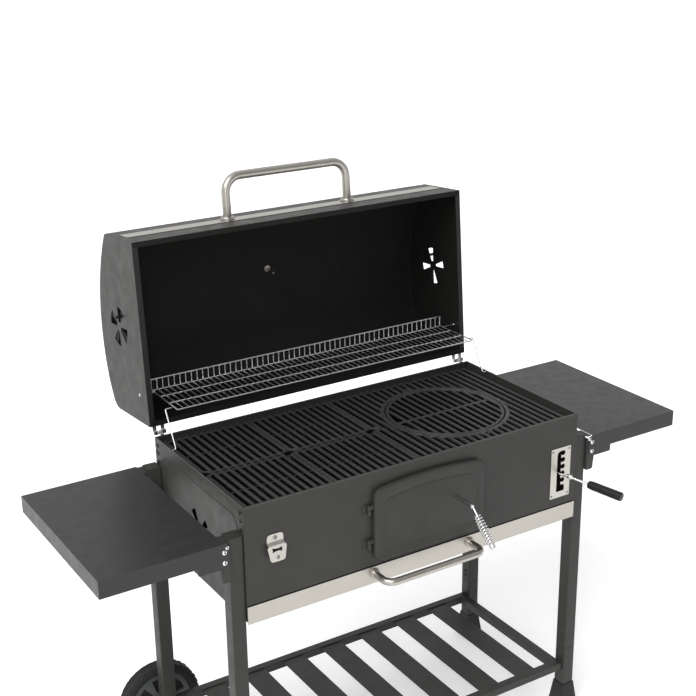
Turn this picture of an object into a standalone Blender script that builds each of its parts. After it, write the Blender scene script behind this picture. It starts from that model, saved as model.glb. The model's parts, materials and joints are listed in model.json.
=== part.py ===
"""Charcoal grill trolley with an open lid, two folding side tables and a slatted bottom shelf.

Metres, +Z up. The origin is on the floor under the middle of the whole grill. The cook stands on
the -Y side, and the two wheels are under the left (-X) legs. The lid is modelled closed and then
opened by turning its pivot.
"""

import math

import bmesh
import bpy
from mathutils import Matrix, Vector

# Driving dimensions
BOX_WIDTH = 0.865
BOX_DEPTH = 0.417
RIM_Z = 0.799
FRONT_Y = -0.2681
SHEET = 0.0015
GAP = 0.0003
PANEL_HEIGHT = 0.220
SIDE_HEIGHT = 0.258
LID_OPEN = math.radians(94.4)

# Places that follow from them
HALF = BOX_WIDTH / 2
BACK_Y = FRONT_Y + BOX_DEPTH
MIDDLE_Y = FRONT_Y + BOX_DEPTH / 2
INNER = HALF - SHEET

# Cooking grates
GRATE_TOP = RIM_Z - 0.012
GRATE_BASE = GRATE_TOP - 0.012
GRATE_HALF = 0.417
BAR_PITCH = 0.0197
GRATE_SPLIT = 0.0052
SMALL_GRATE_SPLIT = -0.2065
RING_CENTRE = (0.2071, MIDDLE_Y - 0.002)
RING_RADIUS = 0.1400

# Lid
LID_GAP = 0.002
LID_HALF = HALF + 0.003
LID_BASE = RIM_Z + LID_GAP
LID_SHEET = 0.0013
LID_FLANGE = 0.012
HINGE_Y = FRONT_Y + 0.4325
HINGE_Z = LID_BASE
DOME_RADIUS = 0.425
DOME_CENTRE_DEPTH = 0.170
DOME_TOP = 0.2335
VENT_RADIUS = 0.0490
VENT_HUB = 0.012
VENT_WIDTH = math.radians(45)
LID_HOLE_TURN = math.radians(22.1)
BOX_HOLE_TURN = math.radians(62.5)
BOX_DISC_TURN = math.radians(40)
LID_KNOB_TURN = math.radians(30)
BOX_KNOB_TURN = math.radians(22)
KNOB_RADIUS = 0.0035
LID_VENT = (BACK_Y - 0.208, LID_BASE + 0.122)
BOX_VENT = (MIDDLE_Y, RIM_Z - 0.1374)

# Legs, wheels and shelf
LEG = 0.0325
LEG_WALL = 0.0015
LEG_TOP = RIM_Z - 0.063
LEG_FRONT_Y = FRONT_Y + 0.0050
LEG_REAR_Y = FRONT_Y + 0.3910
FOOT_TOP = 0.068
SLEEVE_Z = 0.170
WHEEL_RADIUS = 0.0992
WHEEL_WIDTH = 0.038
WHEEL_GAP = 0.0165
AXLE_RADIUS = 0.005
SHELF_TOP = 0.128
RAIL = 0.020
SLATS = 7
SLAT_PITCH = 0.111
SLAT_WIDTH = 0.058

# Side tables
TABLE_GAP = 0.0456
TABLE_WIDTH = 0.262
TABLE_TOP = RIM_Z - 0.064
APRON = 0.038
TABLE_FRONT_Y = FRONT_Y - 0.003
TABLE_BACK_Y = FRONT_Y + 0.4265
TABLE_PIVOT = (HALF + 0.0463, RIM_Z - 0.1053)

# Door, drawer and charcoal lift
DOOR_LEFT = -0.1323
DOOR_RIGHT = 0.1553
DOOR_BASE = RIM_Z - 0.2065
DOOR_TOP = RIM_Z - 0.040
DOOR_RISE = 0.010
DOOR_DEPTH = 0.0135
DOOR_PIVOT = (DOOR_LEFT - 0.0105, FRONT_Y - 0.006)
STRIP_TOP = RIM_Z - 0.2222
STRIP_BASE = RIM_Z - 0.2626
LIFT_Z = RIM_Z - 0.1394
LIFT_PIVOT_Y = FRONT_Y + 0.385
LIFT_RADIUS = 0.004
TRAY_HALF = 0.357
TRAY_CLEARANCE = 0.003
LEVER_SLOT_X = 0.3830
LEVER_ANGLE = math.radians(18)
LEVER_PIVOT = (LEVER_SLOT_X - 0.050 * math.tan(LEVER_ANGLE), FRONT_Y + 0.050)
LEVER_RADIUS = 0.003

# Warming rack
RACK_LINK = Vector((0, 0.0448, 0.0790))
RACK_FOOT = Vector((0, FRONT_Y + 0.3358, RIM_Z - 0.003))
RACK_Z = RIM_Z + 0.0785
RACK_FRONT_Y = FRONT_Y + 0.359
RACK_BACK_Y = FRONT_Y + 0.4956
RACK_HALF = 0.402
WIRE = 0.0015

FINISHES = {
    "painted_sheet": ((0.055, 0.054, 0.052), 0.45, 0.3),
    "lid_interior": ((0.030, 0.029, 0.028), 0.60, 0.2),
    "cast_iron": ((0.035, 0.035, 0.035), 0.65, 0.4),
    "brushed_steel": ((0.62, 0.59, 0.54), 0.35, 1.0),
    "chrome": ((0.80, 0.80, 0.80), 0.12, 1.0),
    "black_plastic": ((0.015, 0.015, 0.015), 0.40, 0.0),
    "grey_plastic": ((0.20, 0.20, 0.20), 0.50, 0.0),
    "tyre": ((0.025, 0.025, 0.025), 0.85, 0.0),
    "coal_steel": ((0.10, 0.10, 0.10), 0.60, 0.6),
}


# Scene and object helpers

for old in list(bpy.data.objects):
    bpy.data.objects.remove(old, do_unlink=True)

grill = bpy.data.collections.new("charcoal_grill")
cutters = bpy.data.collections.new("cutters")
bpy.context.scene.collection.children.link(grill)
bpy.context.scene.collection.children.link(cutters)


def make_material(name):
    colour, roughness, metallic = FINISHES[name]
    material = bpy.data.materials.new(name)
    material.use_nodes = True
    shader = material.node_tree.nodes["Principled BSDF"]
    shader.inputs["Base Color"].default_value = (*colour, 1)
    shader.inputs["Roughness"].default_value = roughness
    shader.inputs["Metallic"].default_value = metallic
    return material


materials = {name: make_material(name) for name in FINISHES}


def add_mesh(name, mesh, finish, smooth=False):
    """Put a mesh in the grill's collection as one named object."""
    mesh.materials.clear()
    mesh.materials.append(materials[finish])
    if smooth:
        mesh.shade_smooth()
        mesh.set_sharp_from_angle(angle=math.radians(35))
    item = bpy.data.objects.new(name, mesh)
    grill.objects.link(item)
    return item


def curve_to_mesh(name, curve, matrix, finish, smooth=False):
    """Turn a curve into a closed mesh object, with its caps welded on."""
    source = bpy.data.objects.new(name + "_curve", curve)
    grill.objects.link(source)
    source.matrix_world = matrix
    bpy.context.view_layer.update()
    depsgraph = bpy.context.evaluated_depsgraph_get()
    mesh = bpy.data.meshes.new_from_object(source.evaluated_get(depsgraph))
    bpy.data.objects.remove(source, do_unlink=True)
    shape = bmesh.new()
    shape.from_mesh(mesh)
    bmesh.ops.remove_doubles(shape, verts=shape.verts, dist=0.00002)
    bmesh.ops.recalc_face_normals(shape, faces=shape.faces)
    shape.to_mesh(mesh)
    shape.free()
    item = add_mesh(name, mesh, finish, smooth)
    item.matrix_world = matrix
    return item


def box(name, low, high, finish):
    """A block between two opposite corners."""
    low = Vector(low)
    high = Vector(high)
    shape = bmesh.new()
    bmesh.ops.create_cube(shape, size=1)
    bmesh.ops.scale(shape, verts=shape.verts, vec=high - low)
    mesh = bpy.data.meshes.new(name)
    shape.to_mesh(mesh)
    shape.free()
    item = add_mesh(name, mesh, finish)
    item.location = (low + high) / 2
    return item


def along(axis):
    """The rotation that takes +Z to a direction."""
    return Vector(axis).to_track_quat("Z", "Y").to_matrix().to_4x4()


def cylinder(name, base, axis, length, radius, finish, sides=12, top_radius=None):
    """A cylinder, or a cone, that starts at base and runs along axis."""
    shape = bmesh.new()
    bmesh.ops.create_cone(
        shape,
        cap_ends=True,
        segments=sides,
        radius1=radius,
        radius2=radius if top_radius is None else top_radius,
        depth=length,
    )
    bmesh.ops.translate(shape, verts=shape.verts, vec=(0, 0, length / 2))
    mesh = bpy.data.meshes.new(name)
    shape.to_mesh(mesh)
    shape.free()
    item = add_mesh(name, mesh, finish, smooth=True)
    item.matrix_world = Matrix.Translation(base) @ along(axis)
    return item


PLANES = {
    "X": Matrix(((0, 0, 1), (1, 0, 0), (0, 1, 0))).to_4x4(),
    "Y": Matrix(((1, 0, 0), (0, 0, -1), (0, 1, 0))).to_4x4(),
    "Z": Matrix.Identity(4),
}


def slab(name, loops, axis, start, end, finish):
    """A flat outline, and any holes in it, given thickness along an axis."""
    curve = bpy.data.curves.new(name, "CURVE")
    curve.dimensions = "2D"
    curve.fill_mode = "BOTH"
    curve.extrude = abs(end - start) / 2
    for loop in loops:
        spline = curve.splines.new("POLY")
        spline.points.add(len(loop) - 1)
        for point, place in zip(spline.points, loop):
            point.co = (place[0], place[1], 0, 1)
        spline.use_cyclic_u = True
    middle = Vector((0, 0, 0))
    middle["XYZ".index(axis)] = (start + end) / 2
    return curve_to_mesh(name, curve, Matrix.Translation(middle) @ PLANES[axis], finish)


def rod(name, points, radius, finish, detail=2):
    """A round bar along a route."""
    curve = bpy.data.curves.new(name, "CURVE")
    curve.dimensions = "3D"
    curve.bevel_depth = radius
    curve.bevel_resolution = detail
    curve.use_fill_caps = True
    spline = curve.splines.new("POLY")
    spline.points.add(len(points) - 1)
    for point, place in zip(spline.points, points):
        point.co = (*place, 1)
    return curve_to_mesh(name, curve, Matrix.Identity(4), finish, smooth=True)


def turned(name, profile, place, axis, finish, steps=24):
    """A profile of (radius, height) points turned about an axis."""
    mesh = bpy.data.meshes.new(name)
    vertices = [(radius, 0, height) for radius, height in profile]
    count = len(vertices)
    mesh.from_pydata(vertices, [(index, (index + 1) % count) for index in range(count)], [])
    item = add_mesh(name, mesh, finish)
    item.matrix_world = Matrix.Translation(place) @ along(axis)
    screw = item.modifiers.new("turn", "SCREW")
    screw.axis = "Z"
    screw.steps = steps
    screw.render_steps = steps
    screw.use_merge_vertices = True
    screw.merge_threshold = 0.00005
    screw.use_smooth_shade = True
    return item


def combine(item, operation, others):
    """Join other solids to an item, or cut them away from it."""
    for other in others:
        grill.objects.unlink(other)
        cutters.objects.link(other)
        other.hide_render = True
        other.display_type = "WIRE"
        step = item.modifiers.new(other.name, "BOOLEAN")
        step.operation = operation
        step.solver = "EXACT"
        step.object = other
    return item


def join(item, *others):
    return combine(item, "UNION", others)


def cut(item, *others):
    return combine(item, "DIFFERENCE", others)


def pivot(name, place, items):
    """An empty on a joint's axis that carries the pieces of one moving body."""
    empty = bpy.data.objects.new(name, None)
    empty.empty_display_size = 0.03
    grill.objects.link(empty)
    empty.location = place
    operands = [step.object for item in items for step in item.modifiers if step.type == "BOOLEAN"]
    for item in items + operands:
        item.parent = empty
        item.matrix_parent_inverse = Matrix.Translation(place).inverted()
    return empty


# Outline helpers

def fillet(corners, closed=True, steps=4):
    """Replace each corner (place, radius) with an arc of that radius."""
    points = []
    count = len(corners)
    for index, (place, radius) in enumerate(corners):
        here = Vector(place)
        is_end = not closed and index in (0, count - 1)
        if radius == 0 or is_end:
            points.append(here)
            continue
        back = (Vector(corners[index - 1][0]) - here).normalized()
        onward = (Vector(corners[(index + 1) % count][0]) - here).normalized()
        half = back.angle(onward) / 2
        centre = here + (back + onward).normalized() * radius / math.sin(half)
        first = (here + back * radius / math.tan(half) - centre).normalized()
        last = (here + onward * radius / math.tan(half) - centre).normalized()
        points += [centre + first.slerp(last, step / steps) * radius for step in range(steps + 1)]
    return points


def rectangle(left, low, right, high, radius=0.0, steps=4):
    corners = [(left, low), (right, low), (right, high), (left, high)]
    return fillet([(corner, radius) for corner in corners], steps=steps)


def circle(centre, radius, sides=16, start=0.0):
    turns = [start + math.tau * side / sides for side in range(sides)]
    return [(centre[0] + radius * math.cos(a), centre[1] + radius * math.sin(a)) for a in turns]


def sector(centre, inner, outer, middle, width, steps=3):
    """A wedge between two radii, with its middle and its width as angles."""
    angles = [middle + width * (step / steps - 0.5) for step in range(steps + 1)]
    far = [(centre[0] + outer * math.cos(a), centre[1] + outer * math.sin(a)) for a in angles]
    near = [(centre[0] + inner * math.cos(a), centre[1] + inner * math.sin(a)) for a in angles]
    return far + near[::-1]


def petals(centre, middle):
    """The four wedge holes of an air vent."""
    quarters = [middle + math.pi / 2 * quarter for quarter in range(4)]
    return [sector(centre, VENT_HUB, VENT_RADIUS - 0.0025, turn, VENT_WIDTH) for turn in quarters]


def screws(prefix, places, axis, radius, height, finish, sides=8):
    """Screw heads that stand on a surface, set into it by half a millimetre."""
    heads = []
    for index, place in enumerate(places):
        base = Vector(place) - Vector(axis) * 0.0005
        name = f"{prefix}_screw_{index}"
        heads.append(cylinder(name, base, axis, height, radius, finish, sides, radius * 0.7))
    return heads


# Firebox

def panel_profile(front):
    """The firebox wall in section: hem at the top, ledge for the grates, plain below."""
    height = PANEL_HEIGHT if front else SIDE_HEIGHT
    section = [
        (0, -height),
        (0, 0),
        (0.0038, 0),
        (0.0038, -0.0045),
        (SHEET, -0.0045),
        (SHEET, GRATE_BASE - GAP - RIM_Z),
        (0.015, GRATE_BASE - GAP - RIM_Z),
        (0.015, GRATE_BASE - GAP - RIM_Z - SHEET),
        (SHEET, GRATE_BASE - GAP - RIM_Z - SHEET),
        (SHEET, -height),
    ]
    if front:
        return [(FRONT_Y + depth, RIM_Z + z) for depth, z in section]
    return [(BACK_Y - depth, RIM_Z + z) for depth, z in section]


def build_wall(name, front, height):
    """A full-width sheet, with its hem and ledge only between the side panels."""
    reach = INNER - GAP
    wall = slab(name, [panel_profile(front)], "X", -reach, reach, "painted_sheet")
    edges = (FRONT_Y, FRONT_Y + SHEET) if front else (BACK_Y - SHEET, BACK_Y)
    low = (-HALF, edges[0] + 0.0001, RIM_Z - height + 0.0001)
    high = (HALF, edges[1] - 0.0001, RIM_Z - 0.0001)
    return join(wall, box(f"{name}_sheet", low, high, "painted_sheet"), *end_flanges(name, front, height))


def end_flanges(name, front, height):
    """The turned-in ends of a firebox wall, which lie against the side panels."""
    edge = FRONT_Y + SHEET / 2 if front else BACK_Y - SHEET / 2
    depth = 0.024 if front else -0.024
    clear = 0 if front else SHEET + GAP
    flanges = []
    for side in (-1, 1):
        outer = side * (INNER - GAP)
        inner = side * (INNER - GAP - SHEET)
        low = (min(outer, inner), min(edge, edge + depth), RIM_Z - height + clear)
        high = (max(outer, inner), max(edge, edge + depth), GRATE_BASE - 0.004)
        flanges.append(box(f"{name}_flange_{side}", low, high, "painted_sheet"))
    return flanges


def build_firebox():
    front = build_wall("firebox_front", True, PANEL_HEIGHT)
    door_hole = slab(
        "door_hole",
        [rectangle(DOOR_LEFT + 0.014, DOOR_BASE + 0.014, DOOR_RIGHT - 0.014, DOOR_TOP - 0.010, 0.012)],
        "Y",
        FRONT_Y - 0.01,
        FRONT_Y + 0.01,
        "painted_sheet",
    )
    lever_hole = slab(
        "lever_hole",
        [rectangle(LEVER_SLOT_X - 0.008, LIFT_Z - 0.049, LEVER_SLOT_X + 0.021, LIFT_Z + 0.060, 0.003)],
        "Y",
        FRONT_Y - 0.01,
        FRONT_Y + 0.01,
        "painted_sheet",
    )
    cut(front, door_hole, lever_hole)
    build_wall("firebox_back", False, SIDE_HEIGHT)
    for label, side in (("left", -1), ("right", 1)):
        build_side_panel(label, side)
    box(
        "grate_crossbar",
        (-INNER + GAP, MIDDLE_Y - 0.011, GRATE_BASE - GAP - 0.012),
        (INNER - GAP, MIDDLE_Y + 0.009, GRATE_BASE - GAP),
        "painted_sheet",
    )


def build_side_panel(label, side):
    name = f"firebox_side_{label}"
    outline = rectangle(
        FRONT_Y + SHEET + GAP, RIM_Z - SIDE_HEIGHT, BACK_Y - SHEET - GAP, RIM_Z - 0.0005
    )
    lift_hole = circle((LIFT_PIVOT_Y, LIFT_Z), LIFT_RADIUS + 0.0006, 12)
    holes = petals(BOX_VENT, -side * BOX_HOLE_TURN) + [lift_hole]
    panel = slab(name, [outline, *holes], "X", side * INNER, side * HALF, "painted_sheet")
    rail_low = (side * (INNER + SHEET / 2), FRONT_Y + 0.004, RIM_Z - SIDE_HEIGHT)
    rail_high = (side * (INNER - 0.014), BACK_Y - 0.004, RIM_Z - SIDE_HEIGHT + SHEET)
    low = [min(a, b) for a, b in zip(rail_low, rail_high)]
    high = [max(a, b) for a, b in zip(rail_low, rail_high)]
    join(panel, box(f"{name}_rail", low, high, "painted_sheet"))
    heads = [
        (side * HALF, y, RIM_Z - drop)
        for y in (FRONT_Y + 0.0163, BACK_Y - 0.0063)
        for drop in (0.0163, 0.0336, 0.0560)
    ]
    join(panel, *screws(name, heads, (side, 0, 0), 0.0036, 0.0028, "painted_sheet", 6))


def build_vent_disc(name, centre, inside_x, side, disc_turn, knob_turn):
    """A turning shutter inside a wall, with its knob through one of the wall's holes."""
    thickness = 0.0012
    near = inside_x - side * GAP
    far = near - side * thickness
    rim = circle(centre, VENT_RADIUS, 24)
    hub = circle(centre, 0.0021, 8)
    loops = [rim, hub, *petals(centre, disc_turn)]
    disc = slab(name, loops, "X", near, far, "painted_sheet")
    reach = 0.030
    base = Vector((
        (near + far) / 2,
        centre[0] + reach * math.cos(knob_turn),
        centre[1] + reach * math.sin(knob_turn),
    ))
    join(disc, cylinder(f"{name}_knob", base, (side, 0, 0), 0.013, KNOB_RADIUS, "chrome", 10))
    return disc


# Cooking grates

def slots(left, right, low, high, clear_of=None):
    """Slots between the bars of a grate, split by a rib across the middle."""
    count = round((right - left) / BAR_PITCH)
    pitch = (right - left) / count
    bar = 0.0085
    holes = []
    for index in range(count):
        start = left + index * pitch + bar / 2
        end = start + pitch - bar
        middle = (low + high) / 2
        spans = [(low, middle - 0.004), (middle + 0.004, high)]
        if clear_of is not None:
            spans = around_ring((start + end) / 2, end - start, low, high, clear_of)
        uneven = 0.00012 * (index * 7 % count)
        holes += [
            rectangle(start, first + uneven, end, last - uneven)
            for first, last in spans
            if last - first > 0.008
        ]
    return holes


def around_ring(x, width, low, high, ring):
    """The parts of a slot that lie in front of a ring and behind it."""
    (centre_x, centre_y), radius = ring
    nearest = max(0.0, abs(x - centre_x) - width / 2)
    if nearest >= radius:
        middle = (low + high) / 2
        return [(low, middle - 0.004), (middle + 0.004, high)]
    half = math.sqrt(radius ** 2 - nearest ** 2)
    return [(low, centre_y - half), (centre_y + half, high)]


def grate_outline(left, low, right, high, notched):
    """A rectangle with a quarter-round finger notch at each corner named in notched."""
    corners = [(left, low, 1, 1), (right, low, -1, 1), (right, high, -1, -1), (left, high, 1, -1)]
    notch = 0.012
    outline = []
    for index, (x, y, inward_x, inward_y) in enumerate(corners):
        if index not in notched:
            outline.append((x, y))
            continue
        turns = [math.pi / 2 * step / 3 for step in range(4)]
        arc = [
            (x + inward_x * notch * math.sin(turn), y + inward_y * notch * math.cos(turn))
            for turn in turns
        ]
        outline += arc if inward_x * inward_y > 0 else arc[::-1]
    return outline


def build_grates():
    edge = 0.0045
    low = FRONT_Y + 0.0045
    high = BACK_Y - 0.0045
    seam = 0.0006
    columns = {
        "left": (-GRATE_HALF, SMALL_GRATE_SPLIT - seam),
        "middle": (SMALL_GRATE_SPLIT + seam, GRATE_SPLIT - seam),
    }
    rows = {"front": (low, MIDDLE_Y - 0.001 - seam), "rear": (MIDDLE_Y - 0.001 + seam, high)}
    grates = []
    for column, (left, right) in columns.items():
        for row, (first, last) in rows.items():
            notched = (2, 3) if row == "front" else (0, 1)
            outline = grate_outline(left, first, right, last, notched)
            holes = slots(left + edge, right - edge, first + 0.013, last - 0.013)
            name = f"grate_{row}_{column}"
            grates.append(slab(name, [outline, *holes], "Z", GRATE_BASE, GRATE_TOP, "cast_iron"))
    return grates + build_large_grate(low, high, edge, seam)


def build_large_grate(low, high, edge, seam):
    left = GRATE_SPLIT + seam
    ring = (RING_CENTRE, RING_RADIUS + 0.008)
    holes = slots(left + edge, GRATE_HALF - edge, low + 0.009, high - 0.009, ring)
    seat = circle(RING_CENTRE, RING_RADIUS, 40)
    outline = rectangle(left, low, GRATE_HALF, high)
    grate = slab("grate_large", [outline, seat, *holes], "Z", GRATE_BASE, GRATE_TOP, "cast_iron")
    centre = Vector((*RING_CENTRE, GRATE_BASE + 0.0015))
    tabs = []
    compass = (Vector((1, 0, 0)), Vector((0, 1, 0)), Vector((-1, 0, 0)), Vector((0, -1, 0)))
    for index, way in enumerate(compass):
        across = Vector((abs(way.y), abs(way.x), 0)) * 0.008
        ends = (centre + way * (RING_RADIUS - 0.008), centre + way * (RING_RADIUS + 0.004))
        corner = [min(a, b) for a, b in zip(*ends)]
        opposite = [max(a, b) for a, b in zip(*ends)]
        low_corner = Vector(corner) - across - Vector((0, 0, 0.0012))
        high_corner = Vector(opposite) + across + Vector((0, 0, 0.0014))
        tabs.append(box(f"grate_tab_{index}", low_corner, high_corner, "cast_iron"))
    join(grate, *tabs)
    return [grate, build_grate_insert()]


def build_grate_insert():
    radius = RING_RADIUS - 0.0012
    rim = []
    for turn in [math.tau * side / 40 for side in range(40)]:
        notch = 0.010 * max(0.0, 1 - (math.cos(turn) / math.sin(math.radians(6))) ** 2)
        reach = radius - notch
        rim.append((RING_CENTRE[0] + reach * math.cos(turn), RING_CENTRE[1] + reach * math.sin(turn)))
    inner = radius - 0.009
    holes = []
    count = 6
    bar = 0.0085
    for index in range(-count, count + 1):
        x = index * BAR_PITCH
        half = math.sqrt(inner ** 2 - (abs(x) + BAR_PITCH / 2 - bar / 2) ** 2)
        if index == 0:
            half -= 0.006
        for first, last in ((-half, -0.005), (0.005, half)):
            start = RING_CENTRE[0] + x - BAR_PITCH / 2 + bar / 2
            end = RING_CENTRE[0] + x + BAR_PITCH / 2 - bar / 2
            holes.append(rectangle(start, RING_CENTRE[1] + first, end, RING_CENTRE[1] + last))
    return slab("grate_insert", [rim, *holes], "Z", GRATE_BASE + 0.0033, GRATE_TOP, "cast_iron")


# Lid, modelled closed

def dome_height(depth):
    """Height of the lid's outer skin above its rim, at a depth in front of its rear wall."""
    offset = depth - DOME_CENTRE_DEPTH
    return DOME_TOP - DOME_RADIUS + math.sqrt(DOME_RADIUS ** 2 - offset ** 2)


def lid_curve(inset=0.0, lift=0.0, steps=4):
    """The lid's section from the rear rim over the dome to the front rim, moved inward."""
    depth = BOX_DEPTH
    dome = [0.060 + (depth - 0.085) * step / 8 for step in range(9)]
    corners = [((0, lift), 0), ((0, dome_height(0.0) - 0.004), 0.034)]
    corners += [((place, dome_height(place)), 0) for place in dome]
    corners += [((depth, dome_height(depth)), 0.014), ((depth, lift), 0)]
    route = fillet(corners, closed=False, steps=steps)
    if inset:
        route = move_inward(route, inset)
    return [(BACK_Y - point[0], LID_BASE + point[1]) for point in route]


def move_inward(route, inset):
    """Offset an open route to its right-hand side."""
    moved = []
    for index, point in enumerate(route):
        before = route[max(index - 1, 0)]
        after = route[min(index + 1, len(route) - 1)]
        first = (point - before).normalized() if index > 0 else (after - point).normalized()
        second = (after - point).normalized() if index < len(route) - 1 else first
        first_normal = Vector((first.y, -first.x))
        second_normal = Vector((second.y, -second.x))
        mitre = (first_normal + second_normal).normalized()
        moved.append(point + mitre * inset / mitre.dot(first_normal))
    return moved


def build_lid():
    outer = lid_curve()
    inner = lid_curve(inset=LID_SHEET, lift=LID_SHEET)
    flange = LID_FLANGE
    section = outer + [
        (FRONT_Y + flange, LID_BASE),
        (FRONT_Y + flange, LID_BASE + LID_SHEET),
        *inner[::-1],
        (BACK_Y - flange, LID_BASE + LID_SHEET),
        (BACK_Y - flange, LID_BASE),
    ]
    side_inner = LID_HALF - LID_SHEET
    shell = slab("lid_shell", [section], "X", -side_inner + GAP, side_inner - GAP, "painted_sheet")
    pieces = [shell]
    for label, side in (("left", -1), ("right", 1)):
        pieces.append(build_lid_side(label, side, outer, side_inner))
        disc_name = f"lid_vent_{label}"
        knob_turn = math.pi - side * LID_KNOB_TURN
        build_vent_disc(disc_name, LID_VENT, side * side_inner, side, 0, knob_turn)
    pieces.append(build_lid_strip())
    handle_z = LID_BASE + 0.0865
    pieces.append(build_handle("lid_handle", 0.1615, handle_z, FRONT_Y - 0.0014, 0.097, 0.010, 0.038, 0.017))
    thermometer, stem_hole = build_thermometer()
    cut(shell, stem_hole)
    pieces.append(thermometer)
    return pieces


def build_lid_side(label, side, outline, side_inner):
    name = f"lid_side_{label}"
    holes = petals(LID_VENT, -side * LID_HOLE_TURN)
    panel = slab(name, [outline, *holes], "X", side * side_inner, side * LID_HALF, "painted_sheet")
    ends = sorted((side * (side_inner - LID_FLANGE), side * (side_inner + LID_SHEET / 2)))
    low = (ends[0], FRONT_Y + LID_FLANGE + GAP, LID_BASE)
    high = (ends[1], BACK_Y - LID_FLANGE - GAP, LID_BASE + LID_SHEET)
    return join(panel, box(f"{name}_flange", low, high, "painted_sheet"))


def build_lid_strip():
    """The bright band across the lid's front wall, with room for the handle's feet."""
    low = LID_BASE + 0.059
    high = LID_BASE + 0.1018
    outline = rectangle(-HALF + 0.012, low, HALF - 0.012, high)
    return slab("lid_trim_strip", [outline], "Y", FRONT_Y - GAP, FRONT_Y - GAP - 0.0008, "brushed_steel")


def build_handle(name, half, z, face_y, reach, radius, bend, flange_radius):
    """A tube handle: two feet on a face and a bar between them, bent towards the cook."""
    corners = [
        ((-half, face_y - 0.001, z), 0),
        ((-half, face_y - reach, z), bend),
        ((half, face_y - reach, z), bend),
        ((half, face_y - 0.001, z), 0),
    ]
    handle = rod(name, fillet(corners, closed=False, steps=6), radius, "brushed_steel", 4)
    feet = []
    for side in (-1, 1):
        base = Vector((side * half, face_y, z))
        foot = f"{name}_foot_{side}"
        feet.append(cylinder(foot, base, (0, -1, 0), 0.004, flange_radius, "brushed_steel", 20))
    return join(handle, *feet)


def build_thermometer():
    depth = BOX_DEPTH - 0.160
    offset = depth - DOME_CENTRE_DEPTH
    lean = math.asin(offset / DOME_RADIUS)
    axis = Vector((0, -math.sin(lean), math.cos(lean)))
    skin = Vector((0, BACK_Y - depth, LID_BASE + dome_height(depth)))
    profile = [
        (0.0005, 0.0130),
        (0.0330, 0.0125),
        (0.0345, 0.0105),
        (0.0345, 0.0020),
        (0.0045, 0.0018),
        (0.0045, -0.0030),
        (0.0085, -0.0031),
        (0.0085, -0.0080),
        (0.0025, -0.0082),
        (0.0025, -0.0400),
        (0.0005, -0.0405),
    ]
    thermometer = turned("thermometer", profile, skin, axis, "brushed_steel", 20)
    hole = cylinder("thermometer_hole", skin - axis * 0.02, axis, 0.04, 0.0050, "painted_sheet", 16)
    return thermometer, hole


# Hinges of the lid

def build_lid_hinges():
    """Each hinge has a plate on the firebox, which carries the pin, and a leaf on the lid."""
    leaves = []
    for label, side in (("left", -1), ("right", 1)):
        middle = side * (HALF - 0.019)
        centre = Vector((middle, HINGE_Y, HINGE_Z))
        back = BACK_Y + GAP
        base = box(
            f"lid_hinge_base_{label}",
            (middle - 0.015, back, RIM_Z - 0.036),
            (middle + 0.015, back + 0.0018, RIM_Z - 0.004),
            "chrome",
        )
        arm = box(
            f"lid_hinge_arm_{label}",
            (middle - 0.0045, back + 0.001, HINGE_Z - 0.013),
            (middle + 0.0045, HINGE_Y + 0.0015, HINGE_Z - 0.0005),
            "chrome",
        )
        barrel_start = centre - Vector((0.0045, 0, 0))
        barrel = cylinder(f"lid_hinge_barrel_{label}", barrel_start, (1, 0, 0), 0.009, 0.0040, "chrome", 12)
        pin_start = centre - Vector((0.0155, 0, 0))
        pin = cylinder(f"lid_hinge_pin_{label}", pin_start, (1, 0, 0), 0.031, 0.0021, "chrome", 12)
        join(base, arm, barrel, pin)
        leaves.append(build_hinge_leaf(label, middle))
    return leaves


def build_hinge_leaf(label, middle):
    back = BACK_Y + GAP
    leaf = box(
        f"lid_hinge_leaf_{label}",
        (middle - 0.015, back, LID_BASE + 0.004),
        (middle + 0.015, back + 0.0018, LID_BASE + 0.034),
        "chrome",
    )
    parts = []
    for index, centre_x in enumerate((middle - 0.00975, middle + 0.00975)):
        low = (centre_x - 0.0045, back + 0.001, LID_BASE + 0.0042)
        high = (centre_x + 0.0045, HINGE_Y + 0.0030, LID_BASE + 0.0062)
        parts.append(box(f"leaf_arm_{label}_{index}", low, high, "chrome"))
        low = (centre_x - 0.0045, HINGE_Y - 0.0040, HINGE_Z - 0.0040)
        high = (centre_x + 0.0045, HINGE_Y + 0.0040, HINGE_Z + 0.0050)
        parts.append(box(f"leaf_knuckle_{label}_{index}", low, high, "chrome"))
    join(leaf, *parts)
    start = Vector((middle - 0.02, HINGE_Y, HINGE_Z))
    return cut(leaf, cylinder(f"leaf_bore_{label}", start, (1, 0, 0), 0.04, 0.0026, "chrome", 16))


# Warming rack, level at rest

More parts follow.
